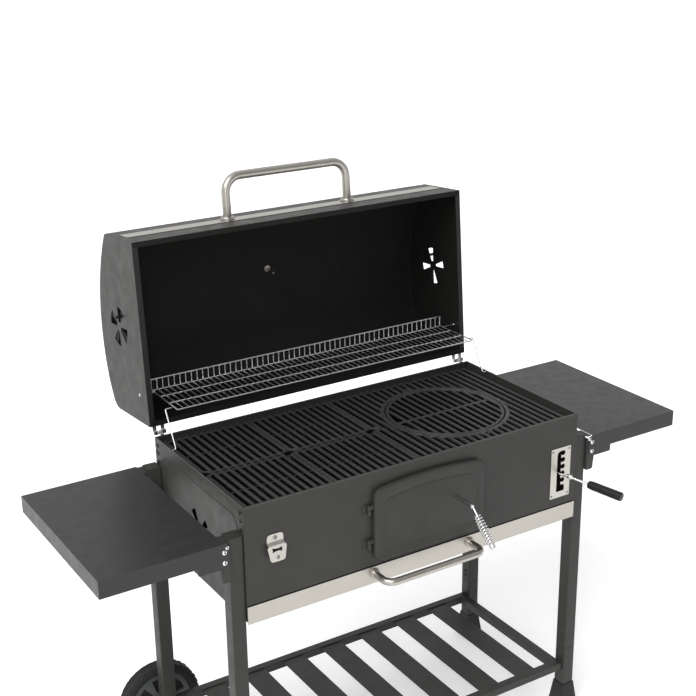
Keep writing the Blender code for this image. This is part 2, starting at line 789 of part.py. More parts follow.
def build_rack():
    wires = 11
    pitch = (2 * RACK_HALF - 2 * WIRE) / (wires - 1)
    cell = pitch - 2 * WIRE
    rows = [RACK_FRONT_Y, RACK_FRONT_Y + 0.045, RACK_FRONT_Y + 0.091, RACK_BACK_Y]
    holes = []
    for first, last in zip(rows, rows[1:]):
        for index in range(wires - 1):
            start = -RACK_HALF + 2 * WIRE + index * pitch
            holes.append(rectangle(start, first + WIRE, start + cell, last - WIRE))
    outline = rectangle(-RACK_HALF, RACK_FRONT_Y - WIRE, RACK_HALF, RACK_BACK_Y + WIRE)
    rack = slab("warming_rack", [outline, *holes], "Z", RACK_Z - WIRE, RACK_Z + WIRE, "chrome")
    top = RACK_Z + 0.0275
    fence_outline = rectangle(-RACK_HALF + 0.0001, RACK_Z - WIRE / 2, RACK_HALF - 0.0001, top)
    fence_holes = []
    for index in range(wires - 1):
        start = -RACK_HALF + 2 * WIRE + index * pitch
        fence_holes.append(rectangle(start, RACK_Z + WIRE + 0.0005, start + cell, top - 2 * WIRE))
    fence_y = RACK_BACK_Y + WIRE - 0.0001
    fence_back = fence_y - 2 * WIRE + 0.0002
    fence = slab("rack_fence", [fence_outline, *fence_holes], "Y", fence_back, fence_y, "chrome")
    parts = [fence]
    hook = RACK_FOOT + RACK_LINK
    pin = Vector((0, HINGE_Y, HINGE_Z)) + RACK_LINK
    for side in (-1, 1):
        ends = sorted((side * (RACK_HALF - WIRE), side * (LID_HALF - LID_SHEET - 0.0006)))
        low = (ends[0], pin.y - WIRE, pin.z - WIRE)
        high = (ends[1], pin.y + WIRE, pin.z + WIRE)
        parts.append(box(f"rack_pin_{side}", low, high, "chrome"))
    join(rack, *parts)
    legs = []
    for label, side in (("left", -1), ("right", 1)):
        plane = side * 0.4190
        route = [
            ((side * 0.4300, RACK_FOOT.y, RACK_FOOT.z), 0),
            ((plane, RACK_FOOT.y, RACK_FOOT.z), 0.004),
            ((plane, hook.y, hook.z), 0.004),
            ((side * 0.4035, hook.y, hook.z), 0),
        ]
        leg = rod(f"rack_leg_{label}", fillet(route, closed=False, steps=3), WIRE, "chrome", 2)
        legs.append(leg)
    return rack, legs, hook, pin


# Legs, wheels and shelf

def square_tube(name, low_x, low_y, base, top, finish):
    outer = rectangle(low_x, low_y, low_x + LEG, low_y + LEG, 0.003, 2)
    inner = rectangle(
        low_x + LEG_WALL, low_y + LEG_WALL, low_x + LEG - LEG_WALL, low_y + LEG - LEG_WALL
    )
    return slab(name, [outer, inner], "Z", base, top, finish)


def build_legs():
    for label, side in (("left", -1), ("right", 1)):
        low_x = HALF + GAP if side > 0 else -HALF - GAP - LEG
        base = WHEEL_RADIUS - 0.022 if side < 0 else FOOT_TOP + GAP
        for row, low_y in (("front", LEG_FRONT_Y), ("rear", LEG_REAR_Y)):
            name = f"leg_{row}_{label}"
            leg = square_tube(name, low_x, low_y, base, LEG_TOP, "painted_sheet")
            cap_low = (low_x + 0.0008, low_y + 0.0008, LEG_TOP - 0.004)
            cap_high = (low_x + LEG - 0.0008, low_y + LEG - 0.0008, LEG_TOP + 0.001)
            join(leg, box(f"{name}_cap", cap_low, cap_high, "black_plastic"))
            groove = [
                rectangle(low_x - 0.002, low_y - 0.002, low_x + LEG + 0.002, low_y + LEG + 0.002),
                rectangle(
                    low_x + 0.0006, low_y + 0.0006, low_x + LEG - 0.0006, low_y + LEG - 0.0006, 0.003, 2
                ),
            ]
            groove_low = SLEEVE_Z - 0.0006
            cut(leg, slab(f"{name}_groove", groove, "Z", groove_low, SLEEVE_Z + 0.0006, "painted_sheet"))
            inner_x = low_x + LEG if side < 0 else low_x
            inward = -side
            bolts = [(inner_x, low_y + LEG / 2, z) for z in (SLEEVE_Z + 0.015, SLEEVE_Z + 0.028)]
            join(leg, *screws(name, bolts, (inward, 0, 0), 0.0045, 0.0035, "painted_sheet", 6))
            if side < 0:
                start = (low_x + LEG / 2, low_y - 0.01, WHEEL_RADIUS)
                bore_radius = AXLE_RADIUS + 0.0004
                through = LEG + 0.02
                cut(leg, cylinder(f"{name}_bore", start, (0, 1, 0), through, bore_radius, "painted_sheet", 16))
            else:
                build_foot(row, low_x + LEG / 2, low_y + LEG / 2)


def build_foot(row, x, y):
    half_diagonal = math.sqrt(2)
    shape = bmesh.new()
    bmesh.ops.create_cone(
        shape,
        cap_ends=True,
        segments=4,
        radius1=0.0260 * half_diagonal,
        radius2=0.0175 * half_diagonal,
        depth=FOOT_TOP,
    )
    bmesh.ops.rotate(shape, verts=shape.verts, matrix=Matrix.Rotation(math.pi / 4, 3, "Z"))
    mesh = bpy.data.meshes.new(f"foot_{row}")
    shape.to_mesh(mesh)
    shape.free()
    foot = add_mesh(f"foot_{row}_right", mesh, "black_plastic")
    foot.location = (x, y, FOOT_TOP / 2)


def build_wheels():
    """Two wheels on one axle, in front of the front leg and behind the rear leg."""
    x = -HALF - GAP - LEG / 2
    front_end = LEG_FRONT_Y - WHEEL_GAP - WHEEL_WIDTH
    rear_end = LEG_REAR_Y + LEG + WHEEL_GAP + WHEEL_WIDTH
    start = (x, front_end - 0.006, WHEEL_RADIUS)
    length = rear_end - front_end + 0.012
    axle = cylinder("wheel_axle", start, (0, 1, 0), length, AXLE_RADIUS, "chrome", 16)
    caps = [
        cylinder("axle_cap_front", start, (0, 1, 0), 0.004, 0.010, "chrome", 12),
        cylinder("axle_cap_rear", (x, rear_end + 0.002, WHEEL_RADIUS), (0, 1, 0), 0.004, 0.010, "chrome", 12),
    ]
    join(axle, *caps)
    wheels = {}
    for row, first in (("front", front_end), ("rear", rear_end - WHEEL_WIDTH)):
        wheels[row] = build_wheel(row, Vector((x, first + WHEEL_WIDTH / 2, WHEEL_RADIUS)))
    return wheels


def build_wheel(row, centre):
    half = WHEEL_WIDTH / 2
    bead = WHEEL_RADIUS - 0.024
    profile = [
        (bead, half - 0.006),
        (bead + 0.010, half),
        (WHEEL_RADIUS - 0.006, half - 0.001),
        (WHEEL_RADIUS, half - 0.007),
        (WHEEL_RADIUS, -half + 0.007),
        (WHEEL_RADIUS - 0.006, -half + 0.001),
        (bead + 0.010, -half),
        (bead, -half + 0.006),
    ]
    tyre = turned(f"tyre_{row}", profile, centre, (0, 1, 0), "tyre", 32)
    spokes = 6
    outer = circle((centre.x, centre.z), bead - GAP, 32)
    bore = circle((centre.x, centre.z), AXLE_RADIUS + 0.0004, 12)
    openings = []
    for spoke in range(spokes):
        middle = math.tau * (spoke + 0.5) / spokes
        openings.append(sector((centre.x, centre.z), 0.024, bead - 0.012, middle, math.radians(38), 2))
    loops = [outer, bore, *openings]
    rim_half = half - 0.008
    rim = slab(f"wheel_rim_{row}", loops, "Y", centre.y - rim_half, centre.y + rim_half, "grey_plastic")
    middle = (centre.x, centre.z)
    hub_loops = [circle(middle, 0.019, 16), circle(middle, AXLE_RADIUS + 0.0008, 12)]
    hub = slab(f"wheel_hub_{row}", hub_loops, "Y", centre.y - half, centre.y + half, "grey_plastic")
    join(rim, hub)
    return centre, [tyre, rim]


def build_shelf():
    """Four tube rails between the legs with flat slats across, welded into one frame."""
    inner = HALF - 0.0006
    low_y = LEG_FRONT_Y + LEG / 2 - RAIL / 2
    high_y = LEG_REAR_Y + LEG / 2 + RAIL / 2
    base = SHELF_TOP - RAIL
    outer_loop = rectangle(-inner, low_y, inner, high_y)
    inner_loop = rectangle(-inner + RAIL, low_y + RAIL, inner - RAIL, high_y - RAIL)
    frame = slab("bottom_shelf", [outer_loop, inner_loop], "Z", base, SHELF_TOP, "painted_sheet")
    slats = []
    for index in range(SLATS):
        middle = (index - (SLATS - 1) / 2) * SLAT_PITCH
        low = (middle - SLAT_WIDTH / 2, low_y + RAIL - 0.002, SHELF_TOP - 0.006)
        high = (middle + SLAT_WIDTH / 2, high_y - RAIL + 0.002, SHELF_TOP - 0.003)
        slats.append(box(f"slat_{index}", low, high, "painted_sheet"))
    join(frame, *slats)


# Side tables

def mirror_x(points, side):
    return [(side * x, z) for x, z in points]


def build_table(label, side):
    inner = HALF + TABLE_GAP
    outer = inner + TABLE_WIDTH
    ends = sorted((side * inner, side * outer))
    table = box(
        f"side_table_{label}",
        (ends[0], TABLE_FRONT_Y, TABLE_TOP - APRON),
        (ends[1], TABLE_BACK_Y, TABLE_TOP),
        "painted_sheet",
    )
    hollow_ends = sorted((side * (inner - 0.01), side * (outer - SHEET)))
    hollow = box(
        f"table_hollow_{label}",
        (hollow_ends[0], TABLE_FRONT_Y + SHEET, TABLE_TOP - APRON - 0.01),
        (hollow_ends[1], TABLE_BACK_Y - SHEET, TABLE_TOP - SHEET),
        "painted_sheet",
    )
    cut(table, hollow)
    pivot_x, pivot_z = TABLE_PIVOT
    lobe = 0.0092
    ear_corners = [
        ((pivot_x - lobe, TABLE_TOP - 0.004), 0.003),
        ((pivot_x - lobe, pivot_z - lobe), lobe * 0.95),
        ((pivot_x + 0.012, pivot_z - 0.013), 0.004),
        ((pivot_x + 0.058, pivot_z - 0.013), 0.003),
        ((pivot_x + 0.061, TABLE_TOP - 0.004), 0.003),
    ]
    ear = fillet(ear_corners, steps=3)
    ears = []
    for row, start in (("front", TABLE_FRONT_Y), ("rear", TABLE_BACK_Y - SHEET)):
        loop = mirror_x(ear, side)
        near = start + 0.0001
        ears.append(slab(f"ear_{row}_{label}", [loop], "Y", near, start + SHEET - 0.0001, "painted_sheet"))
    join(table, *ears)
    heads = [(side * pivot_x, z) for z in (pivot_z, pivot_z + 0.0229)]
    front = [(x, TABLE_FRONT_Y, z) for x, z in heads]
    rear = [(x, TABLE_BACK_Y, z) for x, z in heads]
    join(table, *screws(f"table_front_{label}", front, (0, -1, 0), 0.0048, 0.0030, "chrome"))
    join(table, *screws(f"table_rear_{label}", rear, (0, 1, 0), 0.0048, 0.0030, "chrome"))
    build_table_brackets(label, side)
    return table


def build_table_brackets(label, side):
    """Angle brackets from the legs' outer faces to the tables' ears."""
    leg_face = HALF + GAP + LEG + GAP
    low_z = RIM_Z - 0.1516
    high_z = RIM_Z - 0.0675
    for row, start, leg_y in (
        ("front", TABLE_FRONT_Y + SHEET + GAP, LEG_FRONT_Y),
        ("rear", TABLE_BACK_Y - 2 * SHEET - GAP, LEG_REAR_Y),
    ):
        corners = [
            ((leg_face, low_z), 0),
            ((leg_face + 0.019, low_z), 0.004),
            ((leg_face + 0.024, low_z + 0.045), 0.006),
            ((leg_face + 0.024, high_z - 0.004), 0.004),
            ((leg_face, high_z - 0.004), 0),
        ]
        loop = mirror_x(fillet(corners, steps=2), side)
        name = f"table_bracket_{row}_{label}"
        bracket = slab(name, [loop], "Y", start, start + SHEET, "painted_sheet")
        ends = sorted((side * leg_face, side * (leg_face + SHEET)))
        if row == "front":
            span = sorted((start, leg_y + LEG / 2 + 0.012))
        else:
            span = sorted((start + SHEET, leg_y + LEG / 2 - 0.012))
        low = (ends[0], span[0] + 0.0001, low_z + 0.0001)
        high = (ends[1], span[1] - 0.0001, high_z - 0.0041)
        flange = box(f"{name}_flange", low, high, "painted_sheet")
        join(bracket, flange)


# Drawer

def pan(name, low, high, wall, finish, holes=()):
    """An open-topped pan: a floor, with any holes in it, and four walls."""
    floor_loop = rectangle(low[0] + 0.0001, low[1] + 0.0001, high[0] - 0.0001, high[1] - 0.0001)
    outer = rectangle(low[0], low[1], high[0], high[1])
    inner = rectangle(low[0] + wall, low[1] + wall, high[0] - wall, high[1] - wall)
    item = slab(name, [outer, inner], "Z", low[2], high[2], finish)
    floor = slab(f"{name}_floor", [floor_loop, *holes], "Z", low[2] + 0.0001, low[2] + wall, finish)
    return join(item, floor)


def build_drawer():
    tray = pan(
        "ash_drawer",
        (-INNER + 0.006, FRONT_Y + 0.0004, RIM_Z - SIDE_HEIGHT + SHEET + GAP),
        (INNER - 0.006, BACK_Y - 0.004, STRIP_TOP - 0.002),
        0.0012,
        "coal_steel",
    )
    strip_outline = rectangle(-HALF, STRIP_BASE, HALF, STRIP_TOP)
    face = FRONT_Y - GAP
    strip = slab("drawer_front", [strip_outline], "Y", face + 0.0002, face - 0.0012, "brushed_steel")
    handle_z = RIM_Z - 0.2397
    handle = build_handle("drawer_handle", 0.1264, handle_z, FRONT_Y - 0.0018, 0.0525, 0.008, 0.022, 0.0127)
    return [tray, strip, handle]


# Door

def door_outline(inset, depth_steps=6):
    """The door's outline with its arched top, moved inward by an inset."""
    left = DOOR_LEFT + inset
    right = DOOR_RIGHT - inset
    low = DOOR_BASE + inset
    high = DOOR_TOP - inset
    radius = max(0.020 - inset, 0.006)
    corners = [((left, low), radius), ((right, low), radius), ((right, high), radius)]
    middle = (left + right) / 2
    for step in range(1, depth_steps):
        x = right + (left - right) * step / depth_steps
        rise = DOOR_RISE * (1 - ((x - middle) / ((right - left) / 2)) ** 2)
        corners.append(((x, high + rise), 0))
    corners.append(((left, high), radius))
    return fillet(corners, steps=3)


def build_door():
    face = FRONT_Y - GAP
    door = slab("charcoal_door", [door_outline(0)], "Y", face, face - DOOR_DEPTH, "painted_sheet")
    front = face - DOOR_DEPTH
    hollow = slab("door_hollow", [door_outline(0.0016)], "Y", face + 0.005, front + 0.0016, "painted_sheet")
    cut(door, hollow)
    raised = slab("door_emboss", [door_outline(0.024)], "Y", front + 0.0008, front - 0.0014, "painted_sheet")
    join(door, raised)
    lugs = []
    pivot_x, pivot_y = DOOR_PIVOT
    for index, z in enumerate((RIM_Z - 0.0845, RIM_Z - 0.1649)):
        low = (pivot_x - 0.0001, pivot_y - 0.0018, z + 0.0010)
        high = (DOOR_LEFT + 0.001, pivot_y + 0.0018, z + 0.0110)
        lugs.append(box(f"door_lug_{index}", low, high, "painted_sheet"))
        start = (pivot_x, pivot_y, z + 0.0008)
        lugs.append(cylinder(f"door_knuckle_{index}", start, (0, 0, 1), 0.0104, 0.0040, "painted_sheet", 12))
    join(door, *lugs)
    for index, (label, z) in enumerate((("upper", RIM_Z - 0.0845), ("lower", RIM_Z - 0.1649))):
        start = (pivot_x, pivot_y, z - 0.012)
        cut(door, cylinder(f"door_bore_{index}", start, (0, 0, 1), 0.03, 0.0020, "painted_sheet", 12))
        build_door_hinge(label, z)
    rod_piece, grip = build_door_handle(face - DOOR_DEPTH - 0.0014)
    return [door, rod_piece, grip]


def build_door_hinge(label, z):
    """A plate on the firebox with a lower knuckle and an upright pin."""
    pivot_x, pivot_y = DOOR_PIVOT
    name = f"door_hinge_{label}"
    plate = box(
        name,
        (pivot_x - 0.014, FRONT_Y - GAP - 0.0014, z - 0.012),
        (pivot_x + 0.003, FRONT_Y - GAP, z + 0.012),
        "painted_sheet",
    )
    arm = box(
        f"{name}_arm",
        (pivot_x - 0.0030, pivot_y, z - 0.0098),
        (pivot_x + 0.0030, FRONT_Y - GAP - 0.0010, z - 0.0002),
        "painted_sheet",
    )
    foot = (pivot_x, pivot_y, z - 0.0100)
    barrel = cylinder(f"{name}_barrel", foot, (0, 0, 1), 0.0100, 0.0040, "painted_sheet", 12)
    pin = cylinder(f"{name}_pin", foot, (0, 0, 1), 0.0215, 0.0016, "painted_sheet", 12)
    heads = [(pivot_x - 0.0095, FRONT_Y - GAP - 0.0014, z + offset) for offset in (-0.007, 0.007)]
    join(plate, arm, barrel, pin, *screws(name, heads, (0, -1, 0), 0.0028, 0.0026, "painted_sheet", 6))


def build_door_handle(face):
    x = 0.0785
    z = RIM_Z - 0.1090
    out = 0.0560
    slope = math.radians(42)
    bend = Vector((x, face - out, z))
    direction = Vector((0, -math.cos(slope), -math.sin(slope)))
    corners = [((x, face - GAP, z), 0), (tuple(bend), 0.014), (tuple(bend + direction * 0.1), 0)]
    handle = rod("door_handle_rod", fillet(corners, closed=False, steps=4), 0.0032, "chrome", 3)
    collar = cylinder("door_handle_collar", (x, face - GAP, z), (0, -1, 0), 0.003, 0.0055, "chrome", 12)
    end = bend + direction * 0.0965
    knob = cylinder("door_handle_end", end, direction, 0.007, 0.0062, "chrome", 12)
    join(handle, collar, knob)
    grip_profile = [(0.0085, 0.0760), (0.0085, 0.0020), (0.0055, 0.0), (0.0038, 0.0), (0.0038, 0.0760)]
    grip = turned("door_handle_spring", grip_profile, bend + direction * 0.0195, direction, "chrome", 16)
    return handle, grip


# Charcoal lift

def build_lift():
    """A frame hinged at the back lifts the charcoal tray when the lever at the front is raised."""
    arm_x = LEVER_PIVOT[0]
    z = LIFT_Z
    shaft_half = HALF + 0.0008
    shaft_start = (-shaft_half, LIFT_PIVOT_Y, z)
    bar_half = arm_x + 0.002
    bar_start = (-bar_half, MIDDLE_Y, z)
    arm_radius = LIFT_RADIUS * 0.98
    arm_reach = {"left": LIFT_PIVOT_Y - MIDDLE_Y + 0.003, "right": LIFT_PIVOT_Y - LEVER_PIVOT[1] - 0.006}
    frame = cylinder("lift_frame", shaft_start, (1, 0, 0), 2 * shaft_half, LIFT_RADIUS, "coal_steel", 12)
    parts = [cylinder("lift_crossbar", bar_start, (1, 0, 0), 2 * bar_half, LIFT_RADIUS, "coal_steel", 12)]
    for label, side in (("left", -1), ("right", 1)):
        hub = (side * arm_x, LIFT_PIVOT_Y, z)
        arm = cylinder(f"lift_arm_{label}", hub, (0, -1, 0), arm_reach[label], arm_radius, "coal_steel", 10)
        parts.append(arm)
    for index, offset in enumerate((-0.0062, 0.0038)):
        low = (arm_x - 0.006, LEVER_PIVOT[1] - 0.006, z + offset)
        high = (arm_x + 0.006, LEVER_PIVOT[1] + 0.012, z + offset + 0.0024)
        parts.append(box(f"lift_fork_{index}", low, high, "coal_steel"))
    pin_start = (arm_x, LEVER_PIVOT[1], z - 0.008)
    parts.append(cylinder("lift_fork_pin", pin_start, (0, 0, 1), 0.016, 0.0016, "coal_steel", 10))
    join(frame, *parts)
    tray_base = z + LIFT_RADIUS + GAP
    low = (-TRAY_HALF, FRONT_Y + 0.030, tray_base)
    high = (TRAY_HALF, LIFT_PIVOT_Y - LIFT_RADIUS - TRAY_CLEARANCE, tray_base + 0.040)
    holes = []
    for column in range(-4, 5):
        for row in (-1, 1):
            x = column * 0.075
            y = (low[1] + high[1]) / 2 + row * 0.088
            holes.append(rectangle(x - 0.006, y - 0.070, x + 0.006, y + 0.070))
    tray = pan("charcoal_tray", low, high, 0.0015, "coal_steel", holes)
    return frame, tray, build_lever()


def build_lever():
    """A rod from the frame's fork through the notched plate, with an eye and a black grip."""
    centre = Vector((LEVER_PIVOT[0], LEVER_PIVOT[1], LIFT_Z))
    outward = Vector((math.sin(LEVER_ANGLE), -math.cos(LEVER_ANGLE), 0))
    elbow = centre + outward * 0.080
    droop = math.radians(4.5)
    beyond = (outward * math.cos(droop) + Vector((0, 0, -math.sin(droop)))).normalized()
    grip_start = elbow + beyond * 0.050
    route = [centre + outward * 0.002, elbow, grip_start - beyond * GAP]
    lever = rod("lift_lever", route, LEVER_RADIUS, "chrome", 3)
    eye = cylinder("lever_eye", centre - Vector((0, 0, 0.0034)), (0, 0, 1), 0.0068, 0.0055, "chrome", 12)
    ferrule = cylinder("lever_ferrule", elbow - outward * 0.006, outward, 0.012, 0.0058, "chrome", 6)
    join(lever, eye, ferrule)
    bore = cylinder("lever_bore", centre - Vector((0, 0, 0.01)), (0, 0, 1), 0.02, 0.0021, "chrome", 10)
    cut(lever, bore)
    grip_profile = [
        (0.0005, 0.0860),
        (0.0090, 0.0858),
        (0.0105, 0.0830),
        (0.0100, 0.0100),
        (0.0085, 0.0010),
        (0.0005, 0.0),
    ]
    grip = turned("lever_grip", grip_profile, grip_start, beyond, "black_plastic", 20)
    return [lever, grip]


def slot_outline():
    """An upright channel with six rounded notches on its right side and an arched top."""
    left = LEVER_SLOT_X - 0.0046
    right = LEVER_SLOT_X + 0.0046
    low = LIFT_Z - 0.0450
    high = LIFT_Z + 0.0545
    pitch = 0.0170
    radius = 0.0046
    reach = 0.0080
    outline = [(left, low)]
    for number in range(6):
        z = LIFT_Z + (number - 2) * pitch
        turns = [math.pi * (step / 5 - 0.5) for step in range(6)]
        taper = 0.00002 * (number + 1) ** 2
        outline.append((right + taper, z - radius))
        centre = right + reach - radius * 0.4
        outline += [(centre + radius * math.cos(t), z + radius * math.sin(t)) for t in turns]
        outline.append((right + taper + 0.00002 * number, z + radius))
    corners = [((right, high - 0.006), 0), ((right, high), 0.003), ((left, high), 0.006), ((left, low), 0)]
    top = fillet(corners, False, 3)
    return outline + top[:-1]


def build_front_fittings():
    left = LEVER_SLOT_X - 0.0258
    right = LEVER_SLOT_X + 0.0322
    notch_outline = rectangle(left, RIM_Z - 0.1995, right, RIM_Z - 0.0742, 0.002, 2)
    face = FRONT_Y - GAP
    plate = slab("notch_plate", [notch_outline, slot_outline()], "Y", face, face - 0.0012, "brushed_steel")
    heads = [
        (x, face - 0.0012, z)
        for x in (LEVER_SLOT_X - 0.0210, LEVER_SLOT_X + 0.0274)
        for z in (RIM_Z - 0.1930, RIM_Z - 0.0810)
    ]
    join(plate, *screws("plate", heads, (0, -1, 0), 0.0024, 0.0018, "brushed_steel", 6))
    build_opener(face)


def build_opener(face):
    """A pressed bottle opener: flat upper tab, a step outward, and a tapered tab with a slot."""
    middle = -0.3649
    z = RIM_Z - 0.1025
    thickness = 0.0018
    step = 0.0075
    section = [
        (0, 0.0296),
        (0, 0.0100),
        (-step, 0.0060),
        (-step - 0.004, -0.0296),
        (-step - 0.004 - thickness, -0.0296),
        (-step - thickness, 0.0065),
        (-thickness, 0.0107),
        (-thickness, 0.0296),
    ]
    side_view = [(face + depth, z + height) for depth, height in section]
    opener = slab("bottle_opener", [side_view], "X", middle - 0.0225, middle + 0.0225, "brushed_steel")
    front_view = [
        ((middle - 0.0190, z + 0.0285), 0.008),
        ((middle - 0.0190, z + 0.0060), 0),
        ((middle - 0.0220, z + 0.0020), 0),
        ((middle - 0.0165, z - 0.0285), 0.007),
        ((middle + 0.0165, z - 0.0285), 0.007),
        ((middle + 0.0220, z + 0.0020), 0),
        ((middle + 0.0190, z + 0.0060), 0),
        ((middle + 0.0190, z + 0.0285), 0.008),
    ]
    blank_loops = [fillet(front_view, steps=3)]
    blank = slab("opener_blank", blank_loops, "Y", face + 0.01, face - 0.03, "brushed_steel")
    combine(opener, "INTERSECT", [blank])
    slot = [
        (middle - 0.0110, z - 0.0085),
        (middle - 0.0040, z - 0.0062),
        (middle + 0.0040, z - 0.0062),
        (middle + 0.0110, z - 0.0085),
        (middle + 0.0110, z + 0.0015),
        (middle + 0.0040, z - 0.0008),
        (middle - 0.0040, z - 0.0008),
        (middle - 0.0110, z + 0.0015),
    ]
    cut(opener, slab("opener_slot", [slot], "Y", face + 0.01, face - 0.03, "brushed_steel"))
    upper = [(middle, face - thickness, z + 0.0200)]
    join(opener, *screws("opener_upper", upper, (0, -1, 0), 0.0030, 0.0022, "painted_sheet"))


# Assembly

build_firebox()
for place_name, place_side in (("left", -1), ("right", 1)):
    vent = build_vent_disc(
        f"firebox_vent_{place_name}",
        BOX_VENT,
        place_side * INNER,
        place_side,
        -place_side * BOX_DISC_TURN,
        place_side * BOX_KNOB_TURN - math.pi / 2,
    )
    pivot(f"firebox_vent_pivot_{place_name}", (place_side * INNER, *BOX_VENT), [vent])

build_grates()

lid_pieces = build_lid() + build_lid_hinges()
lid_pivot = pivot("lid_pivot", (0, HINGE_Y, HINGE_Z), lid_pieces)
for place_name, place_side in (("left", -1), ("right", 1)):
    shutter = grill.objects[f"lid_vent_{place_name}"]
    vent_axis = Vector((place_side * LID_HALF, *LID_VENT))
    vent_pivot = pivot(f"lid_vent_pivot_{place_name}", vent_axis, [shutter])
    vent_pivot.parent = lid_pivot
    vent_pivot.location = vent_axis - lid_pivot.location
lid_pivot.rotation_euler = (-LID_OPEN, 0, 0)

rack_piece, rack_legs, rack_hook, rack_pin = build_rack()
pivot("rack_pivot", rack_pin, [rack_piece])
pivot("rack_leg_pivot", RACK_FOOT, rack_legs)

build_legs()
build_shelf()
for wheel_row, (wheel_centre, wheel_pieces) in build_wheels().items():
    pivot(f"wheel_pivot_{wheel_row}", wheel_centre, wheel_pieces)

for place_name, place_side in (("left", -1), ("right", 1)):
    side_table = build_table(place_name, place_side)
    table_axis = (place_side * TABLE_PIVOT[0], MIDDLE_Y, TABLE_PIVOT[1])
    pivot(f"table_pivot_{place_name}", table_axis, [side_table])

pivot("drawer_slide", (0, FRONT_Y, STRIP_BASE), build_drawer())
pivot("door_pivot", (*DOOR_PIVOT, DOOR_BASE), build_door())
lift_frame, coal_tray, lever_pieces = build_lift()
pivot("lift_pivot", (0, LIFT_PIVOT_Y, LIFT_Z), [lift_frame])
pivot("tray_slide", (0, MIDDLE_Y, LIFT_Z), [coal_tray])
pivot("lever_pivot", (*LEVER_PIVOT, LIFT_Z), lever_pieces)
build_front_fittings()
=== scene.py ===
import json
from math import cos, pi, radians, sin, sqrt, tan, tau

import bmesh
import bpy
from mathutils import Matrix, Vector


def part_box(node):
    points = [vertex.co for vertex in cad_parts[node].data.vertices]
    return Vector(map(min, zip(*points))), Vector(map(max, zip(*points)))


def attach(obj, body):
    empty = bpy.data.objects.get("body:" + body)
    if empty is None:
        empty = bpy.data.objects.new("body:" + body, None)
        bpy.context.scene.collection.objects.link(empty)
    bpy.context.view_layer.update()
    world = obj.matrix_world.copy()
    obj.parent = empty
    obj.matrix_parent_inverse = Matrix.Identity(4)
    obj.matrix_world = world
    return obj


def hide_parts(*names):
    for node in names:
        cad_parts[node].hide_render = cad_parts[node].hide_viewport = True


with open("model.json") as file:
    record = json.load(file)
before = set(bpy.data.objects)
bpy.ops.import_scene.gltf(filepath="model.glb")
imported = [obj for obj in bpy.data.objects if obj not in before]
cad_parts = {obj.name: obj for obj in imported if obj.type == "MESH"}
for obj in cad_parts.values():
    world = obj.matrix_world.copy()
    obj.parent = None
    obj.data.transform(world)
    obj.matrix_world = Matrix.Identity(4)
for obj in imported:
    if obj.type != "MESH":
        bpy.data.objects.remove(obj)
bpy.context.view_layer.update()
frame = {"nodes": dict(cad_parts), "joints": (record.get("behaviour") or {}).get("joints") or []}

# Driving sizes, in metres

FRONT_LOW, FRONT_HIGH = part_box("firebox_front")
FRONT_Y = FRONT_LOW.y
RIM_Z = FRONT_HIGH.z
HALF = FRONT_HIGH.x
BACK_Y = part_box("firebox_back")[1].y
DEPTH = BACK_Y - FRONT_Y
LID_JOINT = next(joint for joint in frame["joints"] if joint["name"] == "lid_hinge")
HINGE = Vector(LID_JOINT["pos_m"])
LID_OPEN = radians(LID_JOINT["range_deg"][1])
LID_BASE = HINGE.z
LID_SHEET = 0.0013
LID_FLANGE = 0.012
DOME_RADIUS = 0.425
DOME_CENTRE_DEPTH = 0.170
DOME_TOP = 0.2335
GAP = 0.0003
OPENED = (
    Matrix.Translation(HINGE)
    @ Matrix.Rotation(-LID_OPEN, 4, "X")
    @ Matrix.Translation(-HINGE)
)


# Camera, light and floor

CAMERA_LENS = 66.48
CAMERA_AZIMUTH = radians(-31.97)
CAMERA_ELEVATION = radians(19.73)
CAMERA_ROLL = radians(-0.764)
CAMERA_DISTANCE = 2.995
CAMERA_TARGET = Vector((0.0417, 0.0962, 0.9282))


def add_camera():
    level = cos(CAMERA_ELEVATION)
    back = Vector((
        sin(CAMERA_AZIMUTH) * level,
        -cos(CAMERA_AZIMUTH) * level,
        sin(CAMERA_ELEVATION),
    ))
    right = Vector((cos(CAMERA_AZIMUTH), sin(CAMERA_AZIMUTH), 0))
    up = back.cross(right)
    turn = Matrix.Rotation(CAMERA_ROLL, 3, back)
    axes = Matrix((turn @ right, turn @ up, back)).transposed()
    camera = bpy.data.objects.new("camera", bpy.data.cameras.new("camera"))
    camera.data.lens = CAMERA_LENS
    camera.data.sensor_width = 36
    camera.matrix_world = Matrix.Translation(CAMERA_TARGET + back * CAMERA_DISTANCE) @ axes.to_4x4()
    bpy.context.scene.collection.objects.link(camera)
    bpy.context.scene.camera = camera


def add_light(name, place, aim, size, power):
    """A soft box at a place, aimed at a point."""
    data = bpy.data.lights.new(name, "AREA")
    data.shape = "RECTANGLE"
    data.size, data.size_y = size
    data.energy = power
    light = bpy.data.objects.new(name, data)
    light.location = place
    light.rotation_euler = (Vector(aim) - Vector(place)).to_track_quat("-Z", "Y").to_euler()
    bpy.context.scene.collection.objects.link(light)


def add_sun(name, direction, strength, softness):
    data = bpy.data.lights.new(name, "SUN")
    data.energy = strength
    data.angle = radians(softness)
    sun = bpy.data.objects.new(name, data)
    sun.rotation_euler = Vector(direction).to_track_quat("-Z", "Y").to_euler()
    bpy.context.scene.collection.objects.link(sun)


